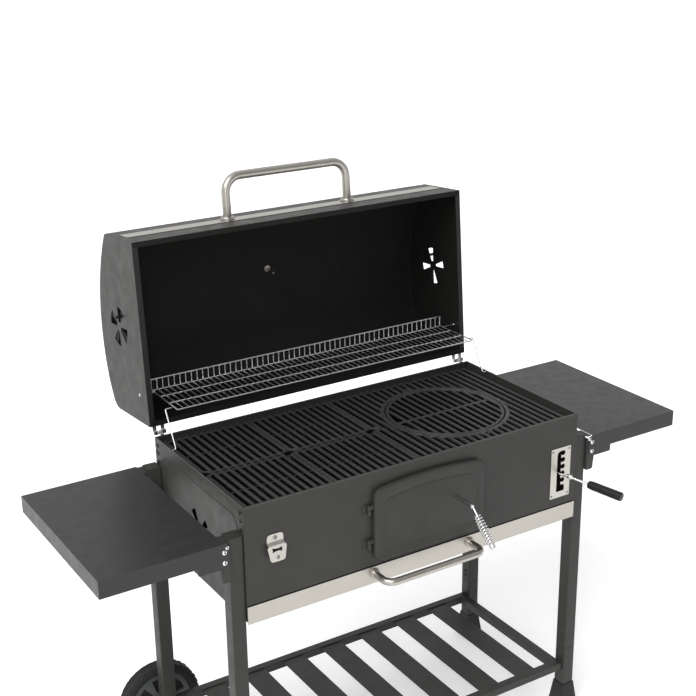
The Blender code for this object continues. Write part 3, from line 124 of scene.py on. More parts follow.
def add_studio():
    """A white backdrop behind and above, a dimmer room in front, and one large soft light."""
    scene = bpy.context.scene
    scene.view_settings.view_transform = "Standard"
    world = bpy.data.worlds.new("studio")
    scene.world = world
    world.use_nodes = True
    tree = world.node_tree
    where = tree.nodes.new("ShaderNodeTexCoord")
    split = tree.nodes.new("ShaderNodeSeparateXYZ")
    shade = tree.nodes.new("ShaderNodeValToRGB")
    shade.color_ramp.elements[0].position = 0.0
    shade.color_ramp.elements[0].color = (0.30, 0.30, 0.31, 1)
    shade.color_ramp.elements[1].position = 0.75
    shade.color_ramp.elements[1].color = (1.0, 1.0, 1.0, 1)
    lift = tree.nodes.new("ShaderNodeMath")
    lift.operation = "MULTIPLY_ADD"
    lift.inputs[1].default_value = 0.5
    lift.inputs[2].default_value = 0.5
    tree.links.new(where.outputs["Generated"], split.inputs[0])
    tree.links.new(split.outputs["Y"], lift.inputs[0])
    tree.links.new(lift.outputs[0], shade.inputs["Fac"])
    tree.links.new(shade.outputs["Color"], tree.nodes["Background"].inputs["Color"])
    tree.nodes["Background"].inputs["Strength"].default_value = 0.9
    add_sun("key", (0.95, 0.38, -1.0), 1.9, 40)
    add_light("strip", (-1.6, -2.4, 2.3), (0, 0, 0.7), (0.5, 1.8), 26)


# Node materials

def tree_of(name):
    material = bpy.data.materials.new(name)
    material.use_nodes = True
    return material, material.node_tree, material.node_tree.nodes["Principled BSDF"]


def node(tree, kind, **values):
    """A shader node; keyword names are its properties or its inputs."""
    made = tree.nodes.new("ShaderNode" + kind)
    for key, value in values.items():
        label = key.replace("_", " ").title()
        if hasattr(made, key):
            setattr(made, key, value)
        else:
            made.inputs[label].default_value = value
    return made


def ramp(tree, source, low, high, start, end):
    """Maps a grey value between start and end to two greys or colours."""
    made = tree.nodes.new("ShaderNodeValToRGB")
    made.color_ramp.elements[0].position = start
    made.color_ramp.elements[1].position = end
    made.color_ramp.elements[0].color = colour4(low)
    made.color_ramp.elements[1].color = colour4(high)
    tree.links.new(source, made.inputs["Fac"])
    return made.outputs["Color"]


def colour4(value):
    return (value, value, value, 1) if isinstance(value, (int, float)) else (*value, 1)


def noise(tree, scale, detail=3.0, stretch=(1, 1, 1)):
    """Noise in the object's own space, stretched along an axis if asked."""
    where = node(tree, "TexCoord")
    mapping = node(tree, "Mapping")
    mapping.inputs["Scale"].default_value = stretch
    tree.links.new(where.outputs["Object"], mapping.inputs["Vector"])
    made = node(tree, "TexNoise")
    made.inputs["Scale"].default_value = scale
    made.inputs["Detail"].default_value = detail
    tree.links.new(mapping.outputs["Vector"], made.inputs["Vector"])
    return made.outputs["Fac"]


def mix(tree, factor, first, second):
    made = tree.nodes.new("ShaderNodeMix")
    made.data_type = "RGBA"
    for socket, value in (("A", first), ("B", second)):
        target = next(s for s in made.inputs if s.name == socket and s.type == "RGBA")
        if isinstance(value, bpy.types.NodeSocket):
            tree.links.new(value, target)
        else:
            target.default_value = colour4(value)
    tree.links.new(factor, made.inputs[0])
    return next(s for s in made.outputs if s.type == "RGBA")


def edge_mask(tree, radius, start, end):
    """Bright where the surface turns sharply: worn or thin paint on an edge."""
    soft = node(tree, "Bevel", samples=4)
    soft.inputs["Radius"].default_value = radius
    flat = node(tree, "NewGeometry")
    dot = node(tree, "VectorMath", operation="DOT_PRODUCT")
    tree.links.new(soft.outputs["Normal"], dot.inputs[0])
    tree.links.new(flat.outputs["Normal"], dot.inputs[1])
    turned = node(tree, "Math", operation="SUBTRACT")
    turned.inputs[0].default_value = 1
    tree.links.new(dot.outputs["Value"], turned.inputs[1])
    return ramp(tree, turned.outputs[0], 0.0, 1.0, start, end)


def bump(tree, shader, height, strength, distance):
    made = node(tree, "Bump")
    made.inputs["Strength"].default_value = strength
    made.inputs["Distance"].default_value = distance
    tree.links.new(height, made.inputs["Height"])
    feed(tree, shader, "Normal", made.outputs["Normal"])


def feed(tree, shader, name, source):
    tree.links.new(source, shader.inputs[name])


PAINT_GRAIN = 2600.0


def paint(name, dark, light, edge, roughness, depth=0.00012, shine=0.28):
    """Heat-resistant paint: fine speckle, a slow drift of tone and lighter edges."""
    material, tree, shader = tree_of(name)
    speckle = ramp(tree, noise(tree, PAINT_GRAIN, 2), 0.0, 1.0, 0.42, 0.66)
    cloud = ramp(tree, noise(tree, 7, 4), 0.0, 1.0, 0.3, 0.7)
    tone = mix(tree, speckle, dark, light)
    tone = mix(tree, ramp(tree, cloud, 0.0, 0.35, 0.0, 1.0), tone, [0.8 * value for value in dark])
    worn = edge_mask(tree, 0.0012, 0.02, 0.25)
    scratch = ramp(tree, noise(tree, 60, 5), 0.0, 0.35, 0.45, 0.75)
    amount = node(tree, "Math", operation="MULTIPLY")
    tree.links.new(worn, amount.inputs[0])
    tree.links.new(scratch, amount.inputs[1])
    feed(tree, shader, "Base Color", mix(tree, amount.outputs[0], tone, edge))
    rough = ramp(tree, noise(tree, 38, 4), roughness - 0.06, roughness + 0.07, 0.3, 0.7)
    feed(tree, shader, "Roughness", rough)
    shader.inputs["Metallic"].default_value = 0.0
    shader.inputs["Specular IOR Level"].default_value = shine
    bump(tree, shader, noise(tree, PAINT_GRAIN * 0.55, 2), 0.35, depth)
    return material


def iron(name):
    """Cast iron with matt black enamel: pitted, with greyer worn ridges, and painted shade that darkens each
    casting towards its bottom.
    """
    material, tree, shader = tree_of(name)
    pits = ramp(tree, noise(tree, 420, 4), 0.0, 1.0, 0.35, 0.7)
    base = mix(tree, pits, (0.026, 0.026, 0.0252), (0.052, 0.051, 0.049))
    worn = edge_mask(tree, 0.0016, 0.02, 0.30)
    patches = ramp(tree, noise(tree, 45, 5), 0.0, 0.6, 0.4, 0.7)
    amount = node(tree, "Math", operation="MULTIPLY")
    tree.links.new(worn, amount.inputs[0])
    tree.links.new(patches, amount.inputs[1])
    # Painted shade: towards the bottom of each casting the colour fades to near black, for the shade on the
    # bars' sides and in the gaps between them.
    where = node(tree, "TexCoord")
    split = node(tree, "SeparateXYZ")
    tree.links.new(where.outputs["Generated"], split.inputs[0])
    depth = ramp(tree, split.outputs["Z"], 0.0, 1.0, 0.45, 0.92)
    tone = mix(tree, amount.outputs[0], base, (0.12, 0.118, 0.114))
    feed(tree, shader, "Base Color", mix(tree, depth, (0.002, 0.002, 0.002), tone))
    shader.inputs["Specular IOR Level"].default_value = 0.32
    feed(tree, shader, "Roughness", ramp(tree, noise(tree, 120, 4), 0.36, 0.58, 0.3, 0.7))
    shader.inputs["Metallic"].default_value = 0.15
    bump(tree, shader, noise(tree, 900, 5), 0.6, 0.0004)
    return material


def brushed(name, colour, stretch, roughness=0.34):
    """Stainless steel with a fine grain along one axis."""
    material, tree, shader = tree_of(name)
    grain = noise(tree, 2200, 3, stretch)
    light = [min(1.0, value * 1.05) for value in colour]
    dark = [value * 0.93 for value in colour]
    tone = mix(tree, ramp(tree, grain, 0.0, 1.0, 0.3, 0.7), dark, light)
    cloud = ramp(tree, noise(tree, 14, 3), 0.0, 0.25, 0.35, 0.75)
    feed(tree, shader, "Base Color", mix(tree, cloud, tone, [value * 0.8 for value in colour]))
    feed(tree, shader, "Roughness", ramp(tree, grain, roughness - 0.07, roughness + 0.09, 0.3, 0.7))
    shader.inputs["Metallic"].default_value = 1.0
    bump(tree, shader, grain, 0.06, 0.00006)
    return material


def plated(name, colour=(0.78, 0.78, 0.77), roughness=0.14):
    """Bright plating with faint haze and drawing marks."""
    material, tree, shader = tree_of(name)
    haze = ramp(tree, noise(tree, 160, 4), 0.0, 1.0, 0.35, 0.7)
    feed(tree, shader, "Base Color", mix(tree, haze, colour, [value * 0.82 for value in colour]))
    rough = ramp(tree, noise(tree, 90, 4), roughness - 0.05, roughness + 0.12, 0.3, 0.75)
    feed(tree, shader, "Roughness", rough)
    shader.inputs["Metallic"].default_value = 1.0
    bump(tree, shader, noise(tree, 1400, 2), 0.06, 0.0001)
    return material


def plastic(name, dark, light, roughness, grain=1500.0, depth=0.0002):
    """Moulded plastic with a fine spark-eroded grain."""
    material, tree, shader = tree_of(name)
    tone = mix(tree, ramp(tree, noise(tree, 220, 4), 0.0, 1.0, 0.35, 0.7), dark, light)
    worn = edge_mask(tree, 0.0015, 0.02, 0.35)
    soft = ramp(tree, worn, 0.0, 0.35, 0.0, 1.0)
    pale = [min(1.0, value * 2.2 + 0.02) for value in light]
    feed(tree, shader, "Base Color", mix(tree, soft, tone, pale))
    rough = ramp(tree, noise(tree, 70, 4), roughness - 0.05, roughness + 0.09, 0.3, 0.7)
    feed(tree, shader, "Roughness", rough)
    shader.inputs["Specular IOR Level"].default_value = 0.3
    bump(tree, shader, noise(tree, grain, 3), 0.3, depth)
    return material


def floor_material():
    material, tree, shader = tree_of("studio_floor")
    tone = mix(tree, noise(tree, 3, 4), (0.90, 0.90, 0.90), (0.94, 0.94, 0.94))
    feed(tree, shader, "Base Color", tone)
    shader.inputs["Roughness"].default_value = 0.9
    feed(tree, shader, "Emission Color", tone)
    shader.inputs["Emission Strength"].default_value = 0.35
    return material


LID_BLACK = ((0.008, 0.0077, 0.0072), (0.018, 0.017, 0.0155))

MATERIALS = {
    "body_paint": paint(
        "body_paint", (0.026, 0.0255, 0.024), (0.049, 0.0475, 0.0445), (0.16, 0.155, 0.145), 0.46
    ),
    # A lighter copy of the body paint: a painted highlight on the folded rims.
    "hem": paint("hem", (0.075, 0.074, 0.070), (0.110, 0.108, 0.102), (0.20, 0.195, 0.185), 0.40),
    "table_paint": paint(
        "table_paint", (0.026, 0.0265, 0.0265), (0.037, 0.0375, 0.037), (0.12, 0.12, 0.12), 0.36, 0.00005
    ),
    "lid_inside": paint("lid_inside", *LID_BLACK, (0.045, 0.045, 0.040), 0.62, shine=0.14),
    # Near black for the charcoal tray, ash drawer and lift frame: painted shade under the grates, so the gaps
    # between the bars read black.
    "coal_steel": paint(
        "coal_steel", (0.008, 0.008, 0.0076), (0.018, 0.0175, 0.0165), (0.06, 0.058, 0.055), 0.62, shine=0.06
    ),
    "iron": iron("iron"),
    "steel_x": brushed("steel_x", (0.46, 0.44, 0.40), (0.012, 1, 1)),
    "steel_z": brushed("steel_z", (0.52, 0.50, 0.46), (1, 1, 0.02)),
    "chrome": plated("chrome"),
    "wire": plated("wire", (0.88, 0.88, 0.87), 0.30),
    "black_plastic": plastic("black_plastic", (0.005, 0.005, 0.0052), (0.010, 0.010, 0.0105), 0.36),
    "grey_plastic": plastic("grey_plastic", (0.062, 0.067, 0.071), (0.092, 0.098, 0.103), 0.5),
    "tyre": plastic("tyre", (0.012, 0.012, 0.012), (0.024, 0.024, 0.024), 0.78, 700.0, 0.0006),
    "bolt": plated("bolt", (0.09, 0.085, 0.08), 0.40),
    "rivet": plated("rivet", (0.30, 0.28, 0.26), 0.38),
    "zinc": plated("zinc", (0.86, 0.86, 0.85), 0.20),
    "dial": plastic("dial", (0.74, 0.73, 0.70), (0.80, 0.79, 0.77), 0.45),
    "dial_ink": plastic("dial_ink", (0.010, 0.010, 0.010), (0.02, 0.02, 0.02), 0.5),
}


def two_sided(name, axis_value):
    """Body paint outside and lid black inside, told apart by which way a wall faces along X."""
    outside = MATERIALS["body_paint"]
    material = outside.copy()
    material.name = name
    tree = material.node_tree
    shader = tree.nodes["Principled BSDF"]
    outer_colour = shader.inputs["Base Color"].links[0].from_socket
    facing = node(tree, "NewGeometry")
    split = node(tree, "SeparateXYZ")
    tree.links.new(facing.outputs["Normal"], split.inputs[0])
    inward = node(tree, "Math", operation="MULTIPLY_ADD")
    inward.inputs[1].default_value = -axis_value / 2
    inward.inputs[2].default_value = 0.5
    tree.links.new(split.outputs["X"], inward.inputs[0])
    factor = ramp(tree, inward.outputs[0], 0.0, 1.0, 0.15, 0.30)
    inner = mix(tree, ramp(tree, noise(tree, PAINT_GRAIN, 2), 0.0, 1.0, 0.4, 0.66), *LID_BLACK)
    feed(tree, shader, "Base Color", mix(tree, factor, outer_colour, inner))
    return material


# Mesh helpers

def keep(name, bm, material, smooth=35.0):
    """Turn a bmesh into an object with one or more materials, shaded smooth up to an angle."""
    bmesh.ops.recalc_face_normals(bm, faces=bm.faces)
    mesh = bpy.data.meshes.new(name)
    bm.to_mesh(mesh)
    bm.free()
    for label in [material] if isinstance(material, str) else material:
        mesh.materials.append(MATERIALS[label])
    mesh.shade_smooth()
    mesh.set_sharp_from_angle(angle=radians(smooth))
    item = bpy.data.objects.new(name, mesh)
    bpy.context.scene.collection.objects.link(item)
    return item


def soften(item, width, segments=2, angle=28.0):
    """Round an item's edges and keep its flat faces flat."""
    bevel = item.modifiers.new("edges", "BEVEL")
    bevel.width = width
    bevel.segments = segments
    bevel.limit_method = "ANGLE"
    bevel.angle_limit = radians(angle)
    weighted = item.modifiers.new("normals", "WEIGHTED_NORMAL")
    weighted.weight = 100
    return item


def dress(name, material, width=0.0, segments=2, angle=28.0):
    """A CAD node kept as it is: welded, its edges rounded, and given a material."""
    item = frame["nodes"][name]
    mesh = item.data
    if "custom_normal" in mesh.attributes:
        mesh.attributes.remove(mesh.attributes["custom_normal"])
    mesh.materials.clear()
    mesh.materials.append(MATERIALS[material] if isinstance(material, str) else material)
    for face in mesh.polygons:
        face.material_index = 0
    mesh.shade_smooth()
    weld = item.modifiers.new("weld", "WELD")
    weld.merge_threshold = 0.00001
    if width:
        soften(item, width, segments, angle)
    else:
        item.modifiers.new("normals", "WEIGHTED_NORMAL").weight = 100
    return item


def finish_piece(item, body, slot, *nodes):
    """Ride on a body and stand for the CAD nodes named. The slot is not used."""
    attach(item, body)
    if nodes:
        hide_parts(*nodes)
    return item


def fillet(corners, steps=8):
    """An open route in which each corner (place, radius) becomes an arc."""
    points = []
    for index, (place, radius) in enumerate(corners):
        here = Vector(place)
        if radius == 0 or index in (0, len(corners) - 1):
            points.append(here)
            continue
        back = (Vector(corners[index - 1][0]) - here).normalized()
        onward = (Vector(corners[index + 1][0]) - here).normalized()
        half = back.angle(onward) / 2
        centre = here + (back + onward).normalized() * radius / sin(half)
        first = (here + back * radius / tan(half) - centre).normalized()
        last = (here + onward * radius / tan(half) - centre).normalized()
        points += [centre + first.slerp(last, step / steps) * radius for step in range(steps + 1)]
    return points


def tube_into(bm, route, radius, sides=16, capped=True):
    """Sweep a circle along a route, without twist. radius may be a function of 0..1."""
    points = [Vector(point) for point in route]
    tangents = []
    for index in range(len(points)):
        ahead = points[min(index + 1, len(points) - 1)]
        behind = points[max(index - 1, 0)]
        tangents.append((ahead - behind).normalized())
    start = tangents[0].orthogonal().normalized()
    rings = []
    normal = start
    for index, (point, tangent) in enumerate(zip(points, tangents)):
        normal = (normal - tangent * normal.dot(tangent)).normalized()
        across = tangent.cross(normal)
        size = radius(index / (len(points) - 1)) if callable(radius) else radius
        ring = []
        for side in range(sides):
            turn = tau * side / sides
            ring.append(bm.verts.new(point + (normal * cos(turn) + across * sin(turn)) * size))
        rings.append(ring)
    for first, second in zip(rings, rings[1:]):
        for side in range(sides):
            after = (side + 1) % sides
            bm.faces.new((first[side], first[after], second[after], second[side]))
    if capped:
        bm.faces.new(rings[0][::-1])
        bm.faces.new(rings[-1])
    return rings


def turn_into(bm, profile, place, axis, sides=32):
    """Turn an open profile of (radius, height), from axis to axis, about an axis."""
    axis = Vector(axis).normalized()
    across = axis.orthogonal().normalized()
    along = axis.cross(across)
    rings = []
    for radius, height in profile:
        middle = Vector(place) + axis * height
        if radius < 0.00001:
            rings.append([bm.verts.new(middle)])
            continue
        ring = []
        for side in range(sides):
            turn = tau * side / sides
            ring.append(bm.verts.new(middle + (across * cos(turn) + along * sin(turn)) * radius))
        rings.append(ring)
    for first, second in zip(rings, rings[1:]):
        for side in range(sides):
            after = (side + 1) % sides
            near = [first[side % len(first)], first[after % len(first)]]
            far = [second[after % len(second)], second[side % len(second)]]
            unique = list(dict.fromkeys(near + far))
            if len(unique) > 2:
                bm.faces.new(unique)
    return rings


def block_into(bm, low, high):
    made = bmesh.ops.create_cube(bm, size=1)["verts"]
    low = Vector(low)
    high = Vector(high)
    bmesh.ops.scale(bm, verts=made, vec=high - low)
    bmesh.ops.translate(bm, verts=made, vec=(low + high) / 2)


def screw_into(bm, place, axis, radius, height, sides=24, hexagon=False):
    """A domed screw head, or a hexagon head on a washer."""
    if hexagon:
        wide = radius * 1.35
        washer = [(0, 0), (wide, 0), (wide, height * 0.22), (0, height * 0.22)]
        head = [(0, 0), (radius, 0), (radius, height * 0.85), (radius * 0.86, height), (0, height)]
        turn_into(bm, washer, place, axis, 24)
        turn_into(bm, head, place, axis, 6)
        return
    dome = [(radius * cos(t), height * (0.35 + 0.65 * sin(t))) for t in (0.0, 0.4, 0.8, 1.2)]
    socket = [(radius * 0.34, height), (radius * 0.30, height * 0.55), (0, height * 0.55)]
    turn_into(bm, [(0, 0), (radius, 0), *dome, *socket], place, axis, sides)


# Grates, panels and everything else the CAD model already has the shape of

def dress_cad():
    for name in ("firebox_front", "firebox_back", "firebox_side_left", "firebox_side_right"):
        dress(name, "body_paint", 0.0004)
    dress("drawer_front", "steel_x", 0.0004)
    dress("bottle_opener", "steel_z", 0.0004)
    dress("lid_trim_strip", "steel_x", 0.0002)
    dress("grate_crossbar", "body_paint", 0.001)
    for side in ("left", "right"):
        for row in ("front", "rear"):
            dress(f"leg_{row}_{side}", "body_paint", 0.0006)
            dress(f"table_bracket_{row}_{side}", "body_paint", 0.0004)
        dress(f"side_table_{side}", "table_paint", 0.0012, 3)
        dress(f"firebox_vent_{side}", "body_paint", 0.0003)
        dress(f"lid_vent_{side}", "lid_inside", 0.0003)
        dress(f"lid_hinge_base_{side}", "chrome", 0.0004)
        dress(f"lid_hinge_leaf_{side}", "chrome", 0.0004)
        dress(f"rack_leg_{side}", "wire")
    dress("lid_side_left", two_sided("lid_side_left_paint", -1), 0.0004)
    dress("lid_side_right", two_sided("lid_side_right_paint", 1), 0.0004)
    for row in ("front", "rear"):
        dress(f"foot_{row}_right", "black_plastic", 0.002, 3)
        dress(f"wheel_rim_{row}", "grey_plastic", 0.0012)
    dress("wheel_axle", "chrome", 0.0008)
    dress("bottom_shelf", "body_paint", 0.0010)
    dress("door_hinge_upper", "body_paint", 0.0003)
    dress("door_hinge_lower", "body_paint", 0.0003)
    dress("ash_drawer", "coal_steel", 0.0004)
    dress("charcoal_tray", "coal_steel", 0.0004)
    dress("lift_frame", "coal_steel")
    dress("thermometer", "steel_x", 0.0004)
    dress("lift_lever", "chrome")
    dress("lever_grip", "black_plastic", 0.0006)


# Grates

BAR_PITCH = 0.0197
BAR_HALF = 0.0044
FINGER = (0.0165, 0.0105)
RING = (0.2071, FRONT_Y + DEPTH / 2 - 0.002)
RING_RADIUS = 0.140


def bar_into(bm, start, end, half, top, base, rounded=True):
    """A cast bar: a ridged, rounded top on tapering sides, with rounded ends."""
    start = Vector((*start, 0))
    end = Vector((*end, 0))
    way = (end - start).normalized()
    side = Vector((-way.y, way.x, 0))
    tall = top - base
    section = [(-0.62, 0.0), (-0.86, 0.45), (-1.0, 0.72), (-0.94, 0.87), (-0.72, 0.96), (-0.34, 1.0)]
    section += [(-across, height) for across, height in section[::-1]]
    stations = [(start, 0.55, 0.80), (start + way * 0.0012, 0.85, 0.95), (start + way * 0.0035, 1.0, 1.0)]
    stations += [(end - way * 0.0035, 1.0, 1.0), (end - way * 0.0012, 0.85, 0.95), (end, 0.55, 0.80)]
    if not rounded:
        stations = [(start, 1.0, 1.0), (end, 1.0, 1.0)]
    rings = []
    for place, wide, high in stations:
        rings.append([
            bm.verts.new(place + side * (across * half * wide) + Vector((0, 0, base + height * tall * high)))
            for across, height in section
        ])
    count = len(section)
    for near, far in zip(rings, rings[1:]):
        for index in range(count):
            after = (index + 1) % count
            bm.faces.new((near[index], near[after], far[after], far[index]))
    bm.faces.new(rings[0][::-1])
    bm.faces.new(rings[-1])


def arc_into(bm, centre, reach, start, end, half, top, base, steps=8):
    """A raised lip along part of an oval."""
    places = []
    for step in range(steps + 1):
        turn = start + (end - start) * step / steps
        places.append((centre[0] + reach[0] * cos(turn), centre[1] + reach[1] * sin(turn)))
    for near, far in zip(places, places[1:]):
        bar_into(bm, near, far, half, top, base, False)


def finger_depth(offset):
    """How far a finger hole reaches into a bar that is offset from the hole's middle."""
    share = abs(offset) / (FINGER[0] + BAR_HALF)
    return (FINGER[1] + 0.002) * sqrt(1 - share ** 2) if share < 1 else 0.0


def hoop_into(bm, centre, radius, half, top, base, steps=96):
    """A cast hoop with the same rounded section as a bar."""
    tall = top - base
    section = [(-0.7, 0.0), (-0.92, 0.5), (-1.0, 0.78), (-0.8, 0.94), (-0.3, 1.0)]
    section += [(-across, height) for across, height in section[::-1]]
    rings = []
    for step in range(steps):
        turn = tau * step / steps
        rings.append([
            bm.verts.new((
                centre[0] + (radius + across * half) * cos(turn),
                centre[1] + (radius + across * half) * sin(turn),
                base + height * tall,
            ))
            for across, height in section
        ])
    count = len(section)
    for step in range(steps):
        near = rings[step]
        far = rings[(step + 1) % steps]
        for index in range(count):
            after = (index + 1) % count
            bm.faces.new((near[index], near[after], far[after], far[index]))


def bar_places(left, right):
    """Even places for bars whose outer edges reach left and right."""
    count = round((right - left) / BAR_PITCH)
    first = left + BAR_HALF
    last = right - BAR_HALF
    return [first + (last - first) * index / count for index in range(count + 1)]


def build_small_grate(name, body, joint_at_back):
    """Bars from front to back, a bar at each end, a low rib between, and finger notches."""
    low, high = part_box(name)
    bm = bmesh.new()
    places = bar_places(low.x, high.x)
    joint_y = high.y - 0.0062 if joint_at_back else low.y + 0.0062
    free_y = low.y + 0.0050 if joint_at_back else high.y - 0.0050
    joint_end = high.y if joint_at_back else low.y
    free_end = low.y if joint_at_back else high.y
    way = -1 if joint_at_back else 1
    for x in places:
        inset = max(finger_depth(x - low.x), finger_depth(high.x - x))
        stop = joint_end + way * inset
        bar_into(bm, (x, min(stop, free_end)), (x, max(stop, free_end)), BAR_HALF, high.z, low.z)
    bar_into(bm, (low.x, free_y), (high.x, free_y), 0.0040, high.z - 0.0022, low.z)
    clear = FINGER[0] + 0.001
    bar_into(bm, (low.x + clear, joint_y), (high.x - clear, joint_y), 0.0034, high.z - 0.0020, low.z)
    quarter = way * pi / 2
    for corner_x, flat in ((low.x, 0.0), (high.x, pi)):
        start = (corner_x + (0.0028 if flat == 0.0 else -0.0028), joint_end)
        arc_into(bm, start, FINGER, flat, quarter, 0.0026, high.z, low.z + 0.002)
    rib_y = low.y + (high.y - low.y) * (0.50 if joint_at_back else 0.52)
    bar_into(bm, (low.x + 0.003, rib_y), (high.x - 0.003, rib_y), 0.0034, high.z - 0.0050, low.z)
    grate = keep(f"{name}_casting", bm, "iron", 32)
    finish_piece(grate, body, "cast_iron", name)


def build_large_grate():
    """One grate with a round seat for the insert and a double hoop about it."""
    low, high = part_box("grate_large")
    bm = bmesh.new()
    seat = RING_RADIUS + 0.0058
    hoop_into(bm, RING, seat, 0.0054, high.z, low.z)
    joint_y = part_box("grate_front_middle")[1].y + 0.0006
    for x in bar_places(low.x, high.x):
        offset = abs(x - RING[0])
        if x < low.x + BAR_PITCH:
            inset = finger_depth(x - low.x)
            if inset:
                bar_into(bm, (x, low.y), (x, joint_y - inset), BAR_HALF, high.z, low.z)
                bar_into(bm, (x, joint_y + inset), (x, high.y), BAR_HALF, high.z, low.z)
                continue
        if offset >= seat + BAR_HALF:
            bar_into(bm, (x, low.y), (x, high.y), BAR_HALF, high.z, low.z)
            continue
        half = sqrt(max(0.0, seat ** 2 - offset ** 2))
        bar_into(bm, (x, low.y), (x, RING[1] - half), BAR_HALF, high.z, low.z)
        bar_into(bm, (x, RING[1] + half), (x, high.y), BAR_HALF, high.z, low.z)
    for y in (low.y + 0.0045, high.y - 0.0045):
        bar_into(bm, (low.x, y), (high.x, y), 0.0040, high.z - 0.0022, low.z)
    for first, last in ((low.x + 0.003, RING[0] - seat), (RING[0] + seat, high.x - 0.003)):
        bar_into(bm, (first, RING[1]), (last, RING[1]), 0.0034, high.z - 0.0050, low.z)
    arc_into(bm, (low.x + 0.0028, joint_y), FINGER, -pi / 2, pi / 2, 0.0026, high.z, low.z + 0.002, 14)
    centre = Vector((*RING, 0))
    for turn in (pi / 2, -pi / 2):
        lip = centre + Vector((cos(turn), sin(turn), 0)) * (seat + 0.004)
        hoop_into(bm, lip.xy, 0.0115, 0.0024, high.z, low.z + 0.002, 32)
    for quarter in range(4):
        way = Vector((cos(quarter * pi / 2), sin(quarter * pi / 2), 0))
        near = centre + way * (RING_RADIUS - 0.008)
        far = centre + way * (RING_RADIUS + 0.004)
        bar_into(bm, near.xy, far.xy, 0.0075, low.z + 0.0026, low.z + 0.0003, False)
    grate = keep("grate_large_casting", bm, "iron", 32)
    finish_piece(grate, "grate_e", "cast_iron", "grate_large")


def build_insert():
    """The round insert: a hoop, bars inside it and a rib across the middle."""
    low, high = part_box("grate_insert")
    bm = bmesh.new()
    radius = RING_RADIUS - 0.0052
    hoop_into(bm, RING, radius, 0.0038, high.z, low.z)
    for index in range(-6, 7):
        x = RING[0] + (index + 0.5) * BAR_PITCH
        offset = abs(x - RING[0])
        if offset > radius - 0.006:
            continue
        half = sqrt(radius ** 2 - offset ** 2)
        bar_into(bm, (x, RING[1] - half), (x, RING[1] + half), BAR_HALF, high.z, low.z)
    bar_into(bm, (RING[0] - radius, RING[1]), (RING[0] + radius, RING[1]), 0.0042, high.z - 0.0006, low.z)
    insert = keep("grate_insert_casting", bm, "iron", 32)
    finish_piece(insert, "ring_insert", "cast_iron", "grate_insert")


# Flat pressed plates with holes

PLANES = {
    "X": Matrix(((0, 0, 1), (1, 0, 0), (0, 1, 0))).to_4x4(),
    "Y": Matrix(((1, 0, 0), (0, 0, -1), (0, 1, 0))).to_4x4(),
    "Z": Matrix.Identity(4),
}


def plate_into(bm, loops, axis, start, end):
    """A flat outline, and any holes in it, given thickness along an axis."""
    curve = bpy.data.curves.new("plate", "CURVE")
    curve.dimensions = "2D"
    curve.fill_mode = "BOTH"
    curve.extrude = abs(end - start) / 2
    for loop in loops:
        spline = curve.splines.new("POLY")
        spline.points.add(len(loop) - 1)
        for point, place in zip(spline.points, loop):
            point.co = (place[0], place[1], 0, 1)
        spline.use_cyclic_u = True
    source = bpy.data.objects.new("plate", curve)
    bpy.context.scene.collection.objects.link(source)
    middle = Vector((0, 0, 0))
    middle["XYZ".index(axis)] = (start + end) / 2
    source.matrix_world = Matrix.Translation(middle) @ PLANES[axis]
    bpy.context.view_layer.update()
    mesh = bpy.data.meshes.new_from_object(source.evaluated_get(bpy.context.evaluated_depsgraph_get()))
    mesh.transform(source.matrix_world)
    bpy.data.objects.remove(source, do_unlink=True)
    before = set(bm.verts)
    bm.from_mesh(mesh)
    bpy.data.meshes.remove(mesh)
    fresh = [vertex for vertex in bm.verts if vertex not in before]
    bmesh.ops.remove_doubles(bm, verts=fresh, dist=0.00002)


def quarter_arc(x, y, radius, start, steps):
    turns = [start + pi / 2 * step / steps for step in range(steps + 1)]
    return [(x + radius * cos(turn), y + radius * sin(turn)) for turn in turns]


def rounded(left, low, right, high, radius, steps=6):
    """A rectangle with round corners, from its lower right corner round to its lower left."""
    centres = (
        (right - radius, low + radius, -pi / 2),
        (right - radius, high - radius, 0.0),
        (left + radius, high - radius, pi / 2),
        (left + radius, low + radius, pi),
    )
    return [point for x, y, start in centres for point in quarter_arc(x, y, radius, start, steps)]


NOTCHES = 6
NOTCH_PITCH = 0.0170
NOTCH_RADIUS = 0.0060
NOTCH_REACH = 0.0060
NOTCH_NECK = NOTCH_RADIUS * 0.80
CHANNEL_ARCH = 0.0105
SLOT_X = 0.3830
LIFT_Z = RIM_Z - 0.1394


def notch_outline():
    """An arched channel with hooked notches on its right side."""
    left = SLOT_X - 0.0076
    right = SLOT_X + 0.0040
    low = LIFT_Z - 0.0450
    radius = NOTCH_RADIUS
    outline = [(left, low), (right + 0.0110, low), (right + 0.0120, low + 0.0045)]
    for number in range(NOTCHES):
        z = LIFT_Z + (number - 2) * NOTCH_PITCH
        if number == 0:
            outline += [(right + 0.0116, z + 0.004), (right + 0.002, z + 0.0052)]
            continue
        last = number == NOTCHES - 1
        outline.append((right, z - NOTCH_NECK))
        turns = [radians(-126 + (216 if last else 252) * step / 14) for step in range(15)]
        outline += [(right + NOTCH_REACH + radius * cos(t), z + radius * sin(t)) for t in turns]
        if not last:
            outline.append((right, z + NOTCH_NECK))
    top = LIFT_Z + (NOTCHES - 3) * NOTCH_PITCH + radius
    arch = CHANNEL_ARCH
    turns = [pi / 2 * (1 + step / 8) for step in range(1, 9)]
    outline += [(left + arch + arch * cos(t), top - arch + arch * sin(t)) for t in turns]
    return outline


